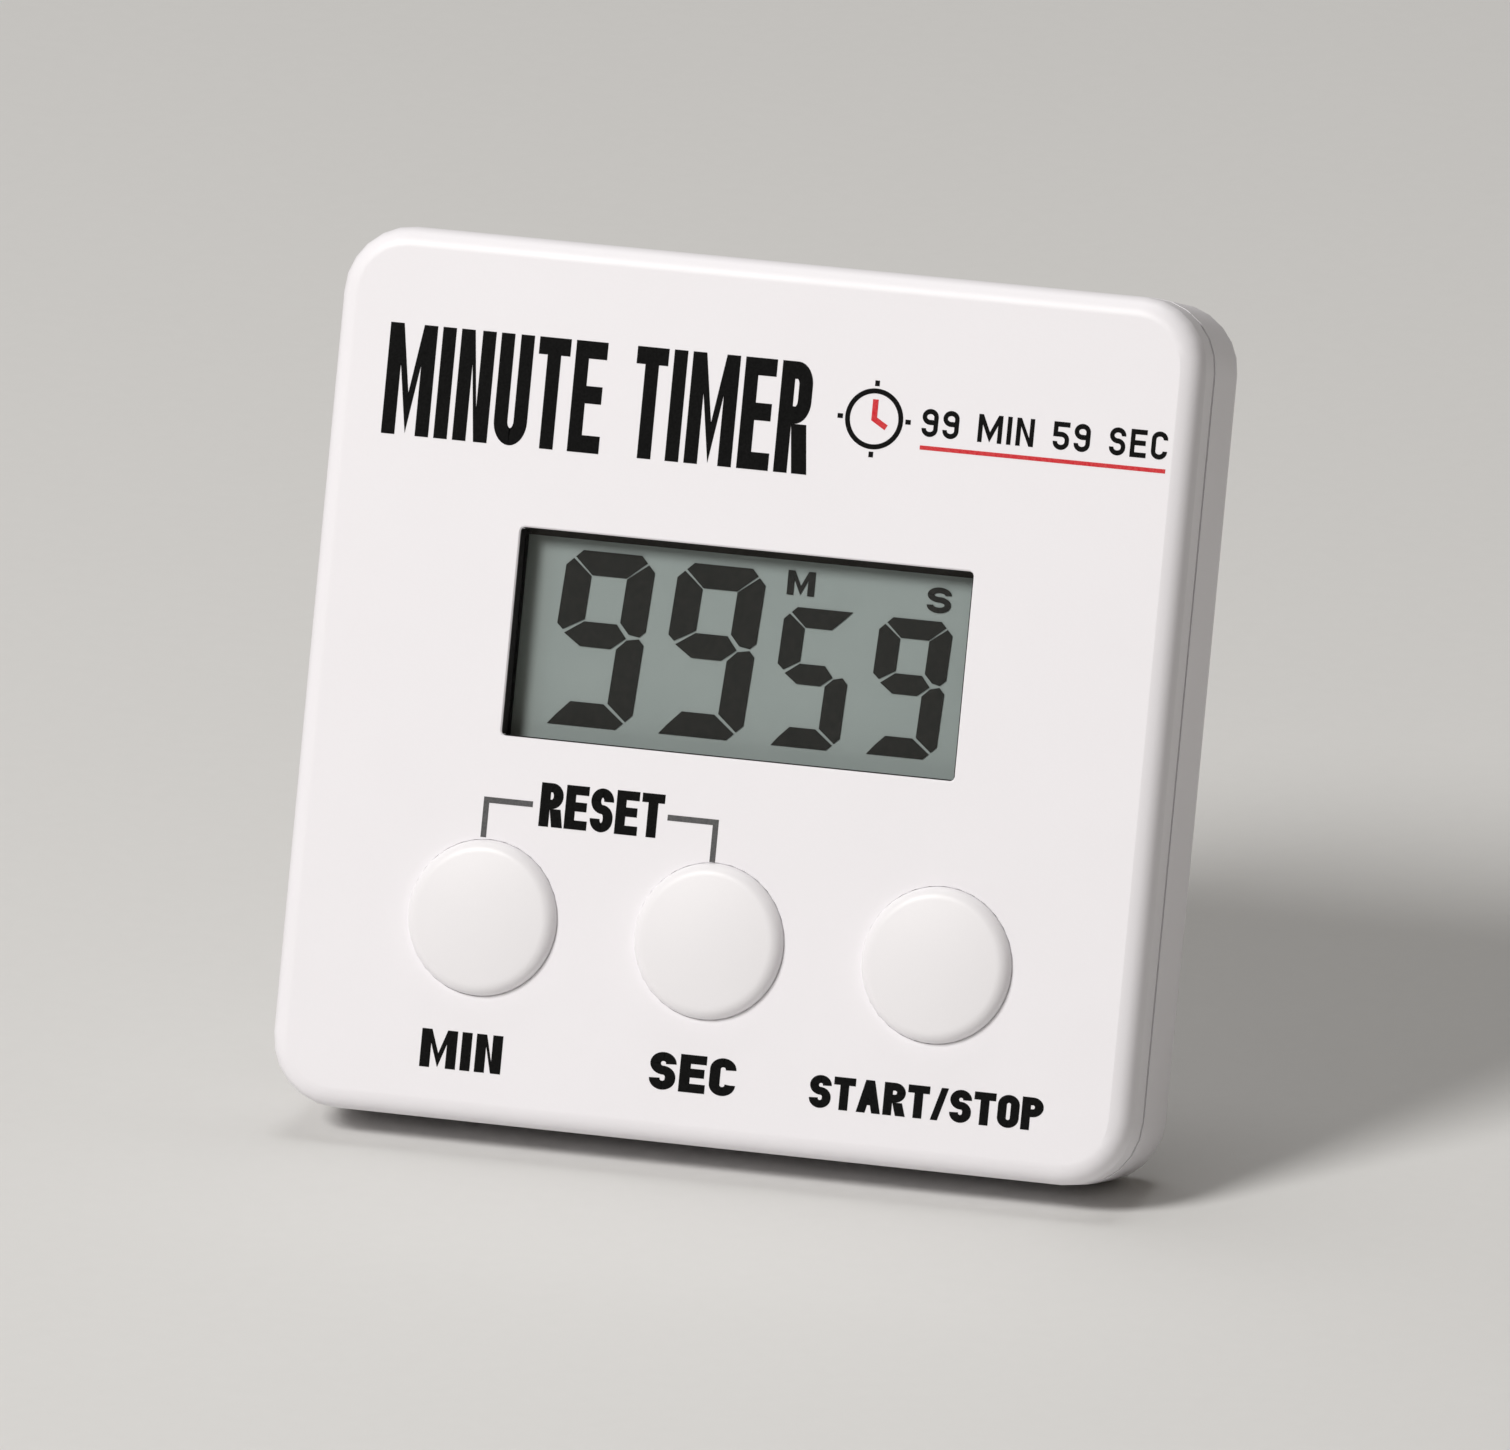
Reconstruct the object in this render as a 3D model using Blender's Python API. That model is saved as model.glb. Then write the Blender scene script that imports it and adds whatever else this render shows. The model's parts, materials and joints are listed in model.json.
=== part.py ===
"""A square desk timer: a two-part case with a display window and three keys, leaning back on a fold-out leg.

The case frame has X to the right, Y from the front face towards the back, and Z up the face from its
bottom edge. Everything is modelled in that frame, which is then leaned back and stood on the desk at z = 0.
"""

import math

import bmesh
import bpy
from mathutils import Matrix, Vector

MM = 0.001
GAP = 0.3 * MM  # air between pieces that touch
FILM_GAP = 0.1 * MM  # air between bonded layers
OVERCUT = 1.0 * MM  # how far a cutter runs past the wall it cuts
BITE = 0.2 * MM  # how far a boss or rib sinks into the wall that carries it

# Case
CASE_WIDTH = 65.0 * MM
CASE_HEIGHT = 63.5 * MM
CASE_DEPTH = 11.5 * MM
CORNER_RADIUS = 5.0 * MM
FRONT_EDGE_RADIUS = 1.5 * MM
REAR_EDGE_RADIUS = 2.0 * MM
WALL = 1.5 * MM
REAR_WALL = 1.4 * MM
REAR_DRAFT = 0.25 * MM  # how much narrower each side of the rear shell is at its back
PARTING_DEPTH = 3.3 * MM  # where the front shell ends
REVEAL = 0.4 * MM  # the shadow line between the shells
RABBET = 0.75 * MM  # width and depth of the step that takes the rear shell's tongue
TONGUE = 0.7 * MM
LEAN = math.radians(17.0)

# Front face
WINDOW_SIZE = (34.2 * MM, 15.0 * MM)
WINDOW_HEIGHT = 35.35 * MM  # centre of the window above the bottom edge
WINDOW_CORNER = 0.3 * MM
WINDOW_CHAMFER = 0.1 * MM
KEY_PITCH = 17.15 * MM
KEY_HEIGHT = 14.7 * MM
KEY_RADIUS = 5.45 * MM
KEY_CLEARANCE = 0.2 * MM
KEY_PROUD = 0.9 * MM
KEY_CROWN = 0.25 * MM  # rise of the domed cap above its rim
KEY_EDGE_RADIUS = 0.7 * MM
KEY_FLANGE = 0.8 * MM  # thickness of the rim that keeps a key in
KEY_FLANGE_REACH = 0.85 * MM
KEY_SKIRT = 1.0 * MM
KEY_HOLLOW_DEPTH = 1.0 * MM
PLUNGER_RADIUS = 2.0 * MM
GUIDE_END = 4.0 * MM  # where the sleeve round each key ends
GUIDE_FACES = (0.9 * MM, 1.6 * MM)  # inside and outside of that sleeve, beyond the key hole
KEY_TRAVEL = 0.8 * MM
KEY_NAMES = ("min", "sec", "start_stop")

# Display stack and circuit board
LENS_SEAT = 0.8 * MM  # depth of the ledge that the lens is fixed to
LENS_THICKNESS = 0.8 * MM
LENS_MARGIN = 1.1 * MM  # how far the lens reaches behind the window's edge
LENS_CORNER = 0.5 * MM
GLASS_THICKNESS = 0.9 * MM
GLASS_WIDTH = 38.0 * MM
GLASS_TOP = 45.0 * MM
REAR_GLASS_BOTTOM = 27.2 * MM
CONTACT_LEDGE = 2.7 * MM  # bare strip of the front glass that the elastomer connector meets
REFLECTOR_THICKNESS = 0.2 * MM
FRAME_RIB = 0.8 * MM
FRAME_END = 5.0 * MM  # how deep the rib round the display reaches
BOARD_FRONT = 5.6 * MM
BOARD_THICKNESS = 1.0 * MM
BOARD_WIDTH = 58.0 * MM
BOARD_LOW = 4.3 * MM
BOARD_TOP = 45.8 * MM
BOARD_SCREW_X = 25.5 * MM
BOARD_SCREW_HEIGHTS = (24.0 * MM, 41.0 * MM)

# Screws and what they run in: a screw is (length under the head, shank radius, head radius)
CASE_SCREW_X = 27.5 * MM
CASE_SCREW_HEIGHTS = (5.5 * MM, 58.0 * MM)
CASE_SCREW = (5.6 * MM, 0.85 * MM, 1.75 * MM)
CASE_SCREW_SEAT = 9.6 * MM
BOARD_SCREW = (3.8 * MM, 0.6 * MM, 1.4 * MM)
BOSS_RADIUS = 2.4 * MM
BOSS_END = 7.0 * MM  # where the front shell's bosses meet the rear shell's posts
BOSS_PILOT = (1.05 * MM, 3.6 * MM)  # radius, and depth of its floor
PILLAR_RADIUS = 1.9 * MM
PILLAR_PILOT = (0.85 * MM, 2.6 * MM)
POST_RADIUS = 2.6 * MM
POST_HOLE = 1.2 * MM
POST_WELL = 2.1 * MM

# Rear features
BATTERY_PLACE = (-17.5 * MM, 52.4 * MM)
BATTERY_RADIUS = 5.8 * MM
BATTERY_DEPTHS = (4.3 * MM, 9.7 * MM)
BATTERY_WALL = (8.9 * MM, 7.3 * MM)  # radius, and the depth where the wall round the well starts
WELL_RADIUS = 6.1 * MM
WELL_STEPS = (8.1 * MM, 9.3 * MM, 10.0 * MM)  # front and back of the lug groove, and the flange's seat
WELL_RADII = (7.7 * MM, 7.0 * MM, 8.2 * MM)  # lug groove, throat and flange recess
LUG_ENTRY = (7.7 * MM, 2.4 * MM)  # half length and half width of the slot that lets both lugs in
DOOR_FACE = 10.3 * MM  # underside of the door's disc
DOOR_RADIUS = 7.9 * MM
DOOR_EDGE = 0.25 * MM
DOOR_SKIRT = (6.1 * MM, 6.7 * MM)
DOOR_SKIRT_END = 8.4 * MM
LUG_REACH = (6.4 * MM, 7.3 * MM)
LUG_THICKNESS = 0.6 * MM
LUG_HALF_WIDTH = 1.8 * MM
COIN_SLOT = (4.6 * MM, 0.8 * MM, 0.7 * MM)  # half length, half width, depth
LUG_TURN = math.radians(45)  # from locked to where the lugs line up with their slot
BUZZER_PLACE = (17.5 * MM, 52.0 * MM)
BUZZER_RADIUS = 7.5 * MM
BUZZER_SEAT = (8.1 * MM, 6.6 * MM, 9.1 * MM)  # outer radius, inner radius and front of the ring it sits on
SOUND_HOLE_RADIUS = 0.6 * MM
SOUND_HOLE_RING = 3.0 * MM
SOUND_HOLES_ROUND = 6
MAGNET_PLACE = (0.0, 51.5 * MM)
MAGNET_RADIUS = 6.0 * MM
MAGNET_THICKNESS = 2.5 * MM
MAGNET_PROUD = 0.2 * MM
MAGNET_EDGE = 0.25 * MM
MAGNET_BOSS = (7.3 * MM, 0.9 * MM)  # radius, and floor under the pocket

# Fold-out leg
HINGE_HEIGHT = 39.0 * MM
HINGE_DEPTH = CASE_DEPTH - 1.5 * MM
LEG_LENGTH = 38.3 * MM  # hinge axis to the tip of the leg's outer face
LEG_WIDTH = (25.0 * MM, 21.0 * MM)  # at the hinge and at the foot
LEG_INNER = -0.4 * MM  # the leg's two faces, measured outward from the hinge axis when folded
LEG_OUTER = 1.3 * MM
LEG_CHAMFER = 0.35 * MM
BARREL_RADIUS = 1.45 * MM
PIN_RADIUS = 0.6 * MM
BAY_WIDTH = 26.2 * MM
BAY_DEPTH = 2.3 * MM
TROUGH_DEPTH = 3.3 * MM
BAY_WALL = 1.0 * MM
TROUGH_WALL = 0.8 * MM
TROUGH_CLEARANCE = 0.5 * MM  # below the barrel
BEARING = 3.0 * MM  # how far the trough's housing reaches past the bay on each side
PIN_END_GAP = 0.3 * MM
PIN_BORE_REACH = 2.2 * MM
FOOT_TRIM = 1.6 * MM
GRIP_RIBS = 3
GRIP_RIB = (6.0 * MM, 0.7 * MM, 0.2 * MM)  # half length, width and height
GRIP_RIB_PITCH = 1.8 * MM
GRIP_RIB_LOW = -33.0 * MM

# Smoothness
CORNER_STEPS = 6
EDGE_STEPS = 4
ROUND_STEPS = 32
INNER_STEPS = 24
SMALL_STEPS = 12
HOLE_STEPS = 10

REAR_FACE = CASE_DEPTH
BOARD_BACK = BOARD_FRONT + BOARD_THICKNESS
REAR_INSIDE = CASE_DEPTH - REAR_WALL
KEY_XS = (-KEY_PITCH, 0.0, KEY_PITCH)
PLUNGER_END = WALL + GAP + KEY_FLANGE + 0.7 * MM  # what stands behind the flange meets the dome


# ---------------------------------------------------------------- materials


def material(name, colour, roughness, metallic=0.0, transmission=0.0):
    """A Principled finish."""
    made = bpy.data.materials.new(name)
    made.use_nodes = True
    shader = made.node_tree.nodes["Principled BSDF"]
    shader.inputs["Base Color"].default_value = (*colour, 1.0)
    shader.inputs["Roughness"].default_value = roughness
    shader.inputs["Metallic"].default_value = metallic
    shader.inputs["Transmission Weight"].default_value = transmission
    return made


def make_materials():
    """Every finish on the timer, by name."""
    return {
        "case_white": material("case_white", (0.84, 0.83, 0.81), 0.45),
        "key_white": material("key_white", (0.86, 0.85, 0.83), 0.4),
        "clear_acrylic": material("clear_acrylic", (0.95, 0.96, 0.96), 0.05, transmission=0.9),
        "display_glass": material("display_glass", (0.42, 0.47, 0.44), 0.15),
        "reflector": material("reflector", (0.55, 0.6, 0.56), 0.4, 0.4),
        "elastomer": material("elastomer", (0.75, 0.55, 0.6), 0.7),
        "board_green": material("board_green", (0.03, 0.2, 0.08), 0.5),
        "epoxy_black": material("epoxy_black", (0.01, 0.01, 0.01), 0.35),
        "chip_tan": material("chip_tan", (0.45, 0.32, 0.2), 0.5),
        "silicone_grey": material("silicone_grey", (0.35, 0.36, 0.37), 0.65),
        "carbon": material("carbon", (0.02, 0.02, 0.02), 0.8),
        "brass": material("brass", (0.75, 0.56, 0.25), 0.35, 1.0),
        "spring_bronze": material("spring_bronze", (0.72, 0.5, 0.32), 0.35, 1.0),
        "piezo_ceramic": material("piezo_ceramic", (0.75, 0.74, 0.68), 0.5),
        "steel": material("steel", (0.62, 0.62, 0.63), 0.3, 1.0),
        "ferrite": material("ferrite", (0.06, 0.06, 0.065), 0.55),
        "wire_red": material("wire_red", (0.6, 0.03, 0.03), 0.5),
        "wire_black": material("wire_black", (0.02, 0.02, 0.02), 0.5),
    }


# ---------------------------------------------------------------- modelling tools


def solid(name, bm, parent):
    """The object for a closed bmesh, smooth on its round stretches, under its parent frame."""
    bmesh.ops.recalc_face_normals(bm, faces=bm.faces)
    mesh = bpy.data.meshes.new(name)
    bm.to_mesh(mesh)
    bm.free()
    mesh.shade_smooth()
    mesh.set_sharp_from_angle(angle=math.radians(30))
    obj = bpy.data.objects.new(name, mesh)
    bpy.context.collection.objects.link(obj)
    obj.parent = parent
    return obj


def finish(obj, surface):
    """Gives a node its material."""
    obj.data.materials.clear()
    obj.data.materials.append(surface)
    return obj


def loft(name, loops, parent):
    """A skin over loops of equally many points, closed by a flat cap at each end."""
    bm = bmesh.new()
    rings = [[bm.verts.new(point) for point in loop] for loop in loops]
    for ring, following in zip(rings, rings[1:]):
        for i in range(len(ring)):
            j = (i + 1) % len(ring)
            bm.faces.new((ring[i], ring[j], following[j], following[i]))
    bm.faces.new(rings[0])
    bm.faces.new(rings[-1])
    return solid(name, bm, parent)


def rounded_outline(width, height, radius, steps=CORNER_STEPS):
    """Points (x, z) anticlockwise round a rectangle with quarter-circle corners, centred on the origin."""
    points = []
    for quarter in range(4):
        middle = math.radians(45 + 90 * quarter)
        x = math.copysign(width / 2 - radius, math.cos(middle))
        z = math.copysign(height / 2 - radius, math.sin(middle))
        for step in range(steps + 1):
            angle = math.radians(90 * quarter + 90 * step / steps)
            points.append((x + radius * math.cos(angle), z + radius * math.sin(angle)))
    return points


def rounded_loop(width, height, radius, depth, place=(0.0, 0.0), steps=CORNER_STEPS):
    """A rounded rectangle standing at one depth, centred on a place (x, z) of the face."""
    outline = rounded_outline(width, height, radius, steps)
    return [(place[0] + x, depth, place[1] + z) for x, z in outline]


def case_loop(inset, depth):
    """The case's outline, taken in by inset, at one depth."""
    return rounded_loop(
        CASE_WIDTH - 2 * inset,
        CASE_HEIGHT - 2 * inset,
        CORNER_RADIUS - inset,
        depth,
        (0.0, CASE_HEIGHT / 2),
    )


def block(name, low, high, parent):
    """A box between two opposite corners (x, depth, z)."""
    low, high = Vector(low), Vector(high)
    bm = bmesh.new()
    bmesh.ops.create_cube(bm, size=1.0)
    bmesh.ops.scale(bm, vec=high - low, verts=bm.verts)
    bmesh.ops.translate(bm, vec=(low + high) / 2, verts=bm.verts)
    return solid(name, bm, parent)


def plate(name, outline, depths, parent):
    """A flat sheet: an outline of (x, z) points carried between two depths."""
    loops = [[(x, depth, z) for x, z in outline] for depth in depths]
    return loft(name, loops, parent)


def turned(name, profile, parent, place=(0.0, 0.0), steps=ROUND_STEPS):
    """A solid turned about the depth axis through a place (x, z), from its outline in (radius, depth)."""
    bm = bmesh.new()
    verts = [bm.verts.new((radius, depth, 0.0)) for radius, depth in profile]
    edges = [bm.edges.new(pair) for pair in zip(verts, verts[1:])]
    bmesh.ops.spin(
        bm, geom=verts + edges, axis=(0, 1, 0), cent=(0, 0, 0), angle=math.tau, steps=steps, use_merge=True
    )
    bmesh.ops.remove_doubles(bm, verts=bm.verts, dist=1e-7)
    obj = solid(name, bm, parent)
    obj.location = (place[0], 0.0, place[1])
    return obj


def disc(name, radius, depths, parent, place=(0.0, 0.0), steps=ROUND_STEPS):
    """A plain cylinder along the depth axis."""
    near, far = depths
    return turned(name, [(0, near), (radius, near), (radius, far), (0, far)], parent, place, steps)


def tube(name, outer, inner, depths, parent, place=(0.0, 0.0), steps=ROUND_STEPS):
    """A plain sleeve along the depth axis."""
    near, far = depths
    profile = [(outer, near), (outer, far), (inner, far), (inner, near), (outer, near)]
    return turned(name, profile, parent, place, steps)


def rod(name, radius, half_length, centre, parent, steps=SMALL_STEPS):
    """A cylinder along X, centred on a point of the case frame."""
    bm = bmesh.new()
    bmesh.ops.create_cone(
        bm,
        cap_ends=True,
        segments=steps,
        radius1=radius,
        radius2=radius,
        depth=2 * half_length,
        matrix=Matrix.Translation(centre) @ Matrix.Rotation(math.radians(90), 4, "Y"),
    )
    return solid(name, bm, parent)


def combine(target, tool, operation):
    """Cuts a tool out of the target, or joins it on, and leaves the tool as a hidden guide."""
    modifier = target.modifiers.new(tool.name, "BOOLEAN")
    modifier.operation = operation
    modifier.object = tool
    modifier.solver = "EXACT"
    tool.hide_render = True
    tool.display_type = "WIRE"


def cut(target, *tools):
    """Cuts each tool out of the target."""
    for tool in tools:
        combine(target, tool, "DIFFERENCE")


def join(target, *tools):
    """Joins each tool onto the target."""
    for tool in tools:
        combine(target, tool, "UNION")


def edge_arc(radius, depth_at_face, direction):
    """(inset, depth) points of a rounded edge, from the flat face out to the side wall."""
    points = []
    for step in range(EDGE_STEPS + 1):
        angle = math.radians(90 * step / EDGE_STEPS)
        points.append(
            (radius * (1 - math.sin(angle)), depth_at_face + direction * radius * (1 - math.cos(angle)))
        )
    return points


def screw_places(half_width, heights):
    """The four corners (x, z) of a pattern that is the same on the left and the right."""
    return [(side * half_width, height) for height in heights for side in (-1, 1)]


# ---------------------------------------------------------------- case shells


def front_profile():
    """(inset, depth) round the front shell's wall: face, rounded edge, side, stepped rim and inside."""
    outside = edge_arc(FRONT_EDGE_RADIUS, 0.0, 1)
    rim = [
        (0.0, PARTING_DEPTH),
        (RABBET, PARTING_DEPTH),
        (RABBET, PARTING_DEPTH - RABBET),
        (WALL, PARTING_DEPTH - RABBET),
        (WALL, WALL),
    ]
    return outside + rim


def rear_profile():
    """(inset, depth) round the rear shell's wall: back, rounded edge, drafted side, tongue and inside."""
    outside = [
        (inset + REAR_DRAFT, depth) for inset, depth in edge_arc(REAR_EDGE_RADIUS, REAR_FACE, -1)
    ]
    tongue_outer = RABBET + GAP
    tongue_tip = PARTING_DEPTH - RABBET + GAP
    seam = PARTING_DEPTH + REVEAL
    rim = [
        (0.0, seam),
        (tongue_outer, seam),
        (tongue_outer, tongue_tip),
        (tongue_outer + TONGUE, tongue_tip),
        (tongue_outer + TONGUE, REAR_INSIDE),
    ]
    return outside + rim


def make_front_shell(case, finishes):
    """The moulded front: a shallow tray with the window, the key holes, screw bosses and display frame."""
    shell = loft("front_shell", [case_loop(*point) for point in front_profile()], case)

    for number, place in enumerate(screw_places(CASE_SCREW_X, CASE_SCREW_HEIGHTS), 1):
        boss = disc(f"boss_{number}", BOSS_RADIUS, (WALL - BITE, BOSS_END), case, place, SMALL_STEPS)
        radius, floor = BOSS_PILOT
        pilot = disc(f"pilot_{number}", radius, (floor, BOSS_END + OVERCUT), case, place, SMALL_STEPS)
        join(shell, boss)
        cut(shell, pilot)
    for number, place in enumerate(screw_places(BOARD_SCREW_X, BOARD_SCREW_HEIGHTS), 1):
        depths = (WALL - BITE, BOARD_FRONT - GAP)
        pillar = disc(f"pillar_{number}", PILLAR_RADIUS, depths, case, place, SMALL_STEPS)
        radius, floor = PILLAR_PILOT
        pilot = disc(f"pillar_pilot_{number}", radius, (floor, BOARD_FRONT), case, place, SMALL_STEPS)
        join(shell, pillar)
        cut(shell, pilot)

    frame_low = REAR_GLASS_BOTTOM - CONTACT_LEDGE
    frame_place = (0.0, (frame_low + GLASS_TOP) / 2)
    frame_size = (GLASS_WIDTH + 2 * GAP, GLASS_TOP - frame_low + 2 * GAP)
    frame_outside = (frame_size[0] + 2 * FRAME_RIB, frame_size[1] + 2 * FRAME_RIB)
    frame = loft(
        "display_frame",
        [
            rounded_loop(*frame_outside, FRAME_RIB, depth, frame_place, 2)
            for depth in (WALL - BITE, FRAME_END)
        ],
        case,
    )
    frame_inside = block(
        "display_frame_inside",
        (-frame_size[0] / 2, 0.0, frame_place[1] - frame_size[1] / 2),
        (frame_size[0] / 2, FRAME_END + OVERCUT, frame_place[1] + frame_size[1] / 2),
        case,
    )
    cut(frame, frame_inside)
    join(shell, frame)

    window = (0.0, WINDOW_HEIGHT)
    width, height = WINDOW_SIZE
    flare = 2 * (OVERCUT + WINDOW_CHAMFER)
    opening = loft(
        "window_opening",
        [
            rounded_loop(width + flare, height + flare, WINDOW_CORNER + flare / 2, -OVERCUT, window, 2),
            rounded_loop(width, height, WINDOW_CORNER, WINDOW_CHAMFER, window, 2),
            rounded_loop(width, height, WINDOW_CORNER, WALL + OVERCUT, window, 2),
        ],
        case,
    )
    seat_margin = LENS_MARGIN + GAP
    seat = loft(
        "lens_seat",
        [
            rounded_loop(width + 2 * seat_margin, height + 2 * seat_margin, LENS_CORNER, depth, window, 2)
            for depth in (LENS_SEAT, WALL + OVERCUT)
        ],
        case,
    )
    cut(shell, opening, seat)

    hole = KEY_RADIUS + KEY_CLEARANCE
    for name, x in zip(KEY_NAMES, KEY_XS):
        place = (x, KEY_HEIGHT)
        inside, outside = GUIDE_FACES
        guide_depths = (WALL - BITE, GUIDE_END)
        join(shell, tube(f"key_guide_{name}", hole + outside, hole + inside, guide_depths, case, place))
        cut(shell, disc(f"key_hole_{name}", hole, (-OVERCUT, WALL + OVERCUT), case, place))
    return finish(shell, finishes["case_white"])


def make_rear_shell(case, finishes):
    """The moulded back: leg bay, battery well, magnet pocket, buzzer seat, sound holes and screw posts."""
    shell = loft("rear_shell", [case_loop(*point) for point in rear_profile()], case)
    behind = REAR_FACE + OVERCUT
    inside = REAR_INSIDE + BITE
    half_bay = BAY_WIDTH / 2
    bay_floor = REAR_FACE - BAY_DEPTH
    trough_floor = REAR_FACE - TROUGH_DEPTH
    trough_low = HINGE_HEIGHT - BARREL_RADIUS - TROUGH_CLEARANCE
    bay_top = HINGE_HEIGHT + math.hypot(heel_length(), LEG_OUTER) + GAP

    join(
        shell,
        block(
            "bay_housing",
            (-half_bay - BAY_WALL, bay_floor - BAY_WALL, WALL - BITE),
            (half_bay + BAY_WALL, inside, bay_top + BAY_WALL),
            case,
        ),
        block(
            "trough_housing",
            (-half_bay - BEARING, trough_floor - TROUGH_WALL, trough_low - TROUGH_WALL),
            (half_bay + BEARING, inside, bay_top + BAY_WALL),
            case,
        ),
    )
    cut(
        shell,
        block("bay", (-half_bay, bay_floor, -OVERCUT), (half_bay, behind, bay_top), case),
        block("trough", (-half_bay, trough_floor, trough_low), (half_bay, behind, bay_top), case),
        rod("pin_bore", PIN_RADIUS + GAP, half_bay + PIN_BORE_REACH, (0, HINGE_DEPTH, HINGE_HEIGHT), case),
    )

    for number, place in enumerate(screw_places(CASE_SCREW_X, CASE_SCREW_HEIGHTS), 1):
        join(shell, disc(f"post_{number}", POST_RADIUS, (BOSS_END + GAP, inside), case, place, SMALL_STEPS))
        counterbore = [
            (0.0, BOSS_END - OVERCUT),
            (POST_HOLE, BOSS_END - OVERCUT),
            (POST_HOLE, CASE_SCREW_SEAT),
            (POST_WELL, CASE_SCREW_SEAT),
            (POST_WELL, behind),
            (0.0, behind),
        ]
        cut(shell, turned(f"screw_well_{number}", counterbore, case, place, SMALL_STEPS))

    wall_radius, wall_front = BATTERY_WALL
    groove_front, groove_back, flange_seat = WELL_STEPS
    groove, throat, recess = WELL_RADII
    join(shell, disc("battery_wall", wall_radius, (wall_front, inside), case, BATTERY_PLACE))
    well = [
        (0.0, wall_front - OVERCUT),
        (WELL_RADIUS, wall_front - OVERCUT),
        (WELL_RADIUS, groove_front),
        (groove, groove_front),
        (groove, groove_back),
        (throat, groove_back),
        (throat, flange_seat),
        (recess, flange_seat),
        (recess, behind),
        (0.0, behind),
    ]
    cut(shell, turned("battery_well", well, case, BATTERY_PLACE))
    length, width = LUG_ENTRY
    entry_depths = (groove_back - BITE, flange_seat + BITE)
    entry = block("lug_entry", (-length, entry_depths[0], -width), (length, entry_depths[1], width), case)
    entry.location = (BATTERY_PLACE[0], 0.0, BATTERY_PLACE[1])
    entry.rotation_euler = (0.0, LUG_TURN, 0.0)
    cut(shell, entry)

    pocket_floor = REAR_FACE + MAGNET_PROUD - MAGNET_THICKNESS - GAP
    boss_radius, boss_floor = MAGNET_BOSS
    join(shell, disc("magnet_boss", boss_radius, (pocket_floor - boss_floor, inside), case, MAGNET_PLACE))
    cut(shell, disc("magnet_pocket", MAGNET_RADIUS + GAP, (pocket_floor, behind), case, MAGNET_PLACE))

    seat_outside, seat_inside, seat_front = BUZZER_SEAT
    join(shell, tube("buzzer_seat", seat_outside, seat_inside, (seat_front, inside), case, BUZZER_PLACE))
    hole_depths = (REAR_INSIDE - OVERCUT, behind)
    sound_holes = [(0.0, 0.0)]
    for number in range(SOUND_HOLES_ROUND):
        angle = math.tau * number / SOUND_HOLES_ROUND
        sound_holes.append((SOUND_HOLE_RING * math.cos(angle), SOUND_HOLE_RING * math.sin(angle)))
    for number, (x, z) in enumerate(sound_holes, 1):
        place = (BUZZER_PLACE[0] + x, BUZZER_PLACE[1] + z)
        cut(shell, disc(f"sound_hole_{number}", SOUND_HOLE_RADIUS, hole_depths, case, place, HOLE_STEPS))
    return finish(shell, finishes["case_white"])


# ---------------------------------------------------------------- display and board


def make_display(case, finishes):
    """The lens, the two glasses of the display, its reflector and the elastomer connector."""
    width, height = WINDOW_SIZE
    window = (0.0, WINDOW_HEIGHT)
    lens_front = LENS_SEAT + GAP
    lens_back = lens_front + LENS_THICKNESS
    lens_size = (width + 2 * LENS_MARGIN, height + 2 * LENS_MARGIN)
    lens = loft(
        "window_lens",
        [rounded_loop(*lens_size, LENS_CORNER, depth, window, 2) for depth in (lens_front, lens_back)],
        case,
    )
    finish(lens, finishes["clear_acrylic"])

    def layer(name, depths, low, surface):
        near, far = depths
        piece = block(name, (-GLASS_WIDTH / 2, near, low), (GLASS_WIDTH / 2, far, GLASS_TOP), case)
        finish(piece, finishes[surface])

    front = lens_back + GAP
    rear = front + GLASS_THICKNESS + FILM_GAP
    film = rear + GLASS_THICKNESS + FILM_GAP
    ledge_low = REAR_GLASS_BOTTOM - CONTACT_LEDGE
    layer("display_front_glass", (front, front + GLASS_THICKNESS), ledge_low, "display_glass")
    layer("display_rear_glass", (rear, rear + GLASS_THICKNESS), REAR_GLASS_BOTTOM, "display_glass")
    layer("display_reflector", (film, film + REFLECTOR_THICKNESS), REAR_GLASS_BOTTOM, "reflector")

    strip = block(
        "elastomer_connector",
        (-GLASS_WIDTH / 2 + 1.5 * MM, front + GLASS_THICKNESS + FILM_GAP, ledge_low + 0.4 * MM),
        (GLASS_WIDTH / 2 - 1.5 * MM, BOARD_FRONT - FILM_GAP, REAR_GLASS_BOTTOM - 0.5 * MM),
        case,
    )
    finish(strip, finishes["elastomer"])


def make_board(case, finishes):
    """The circuit board, notched round the lower screw bosses and drilled for its own screws."""
    board = block(
        "circuit_board",
        (-BOARD_WIDTH / 2, BOARD_FRONT, BOARD_LOW),
        (BOARD_WIDTH / 2, BOARD_BACK, BOARD_TOP),
        case,
    )
    through = (BOARD_FRONT - OVERCUT, BOARD_BACK + OVERCUT)
    for side, (x, z) in zip("lr", screw_places(CASE_SCREW_X, CASE_SCREW_HEIGHTS[:1])):
        cut(board, disc(f"boss_notch_{side}", 3.2 * MM, through, case, (x, z), SMALL_STEPS))
    for number, place in enumerate(screw_places(BOARD_SCREW_X, BOARD_SCREW_HEIGHTS), 1):
        cut(board, disc(f"board_hole_{number}", 0.9 * MM, through, case, place, SMALL_STEPS))
    finish(board, finishes["board_green"])


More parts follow.
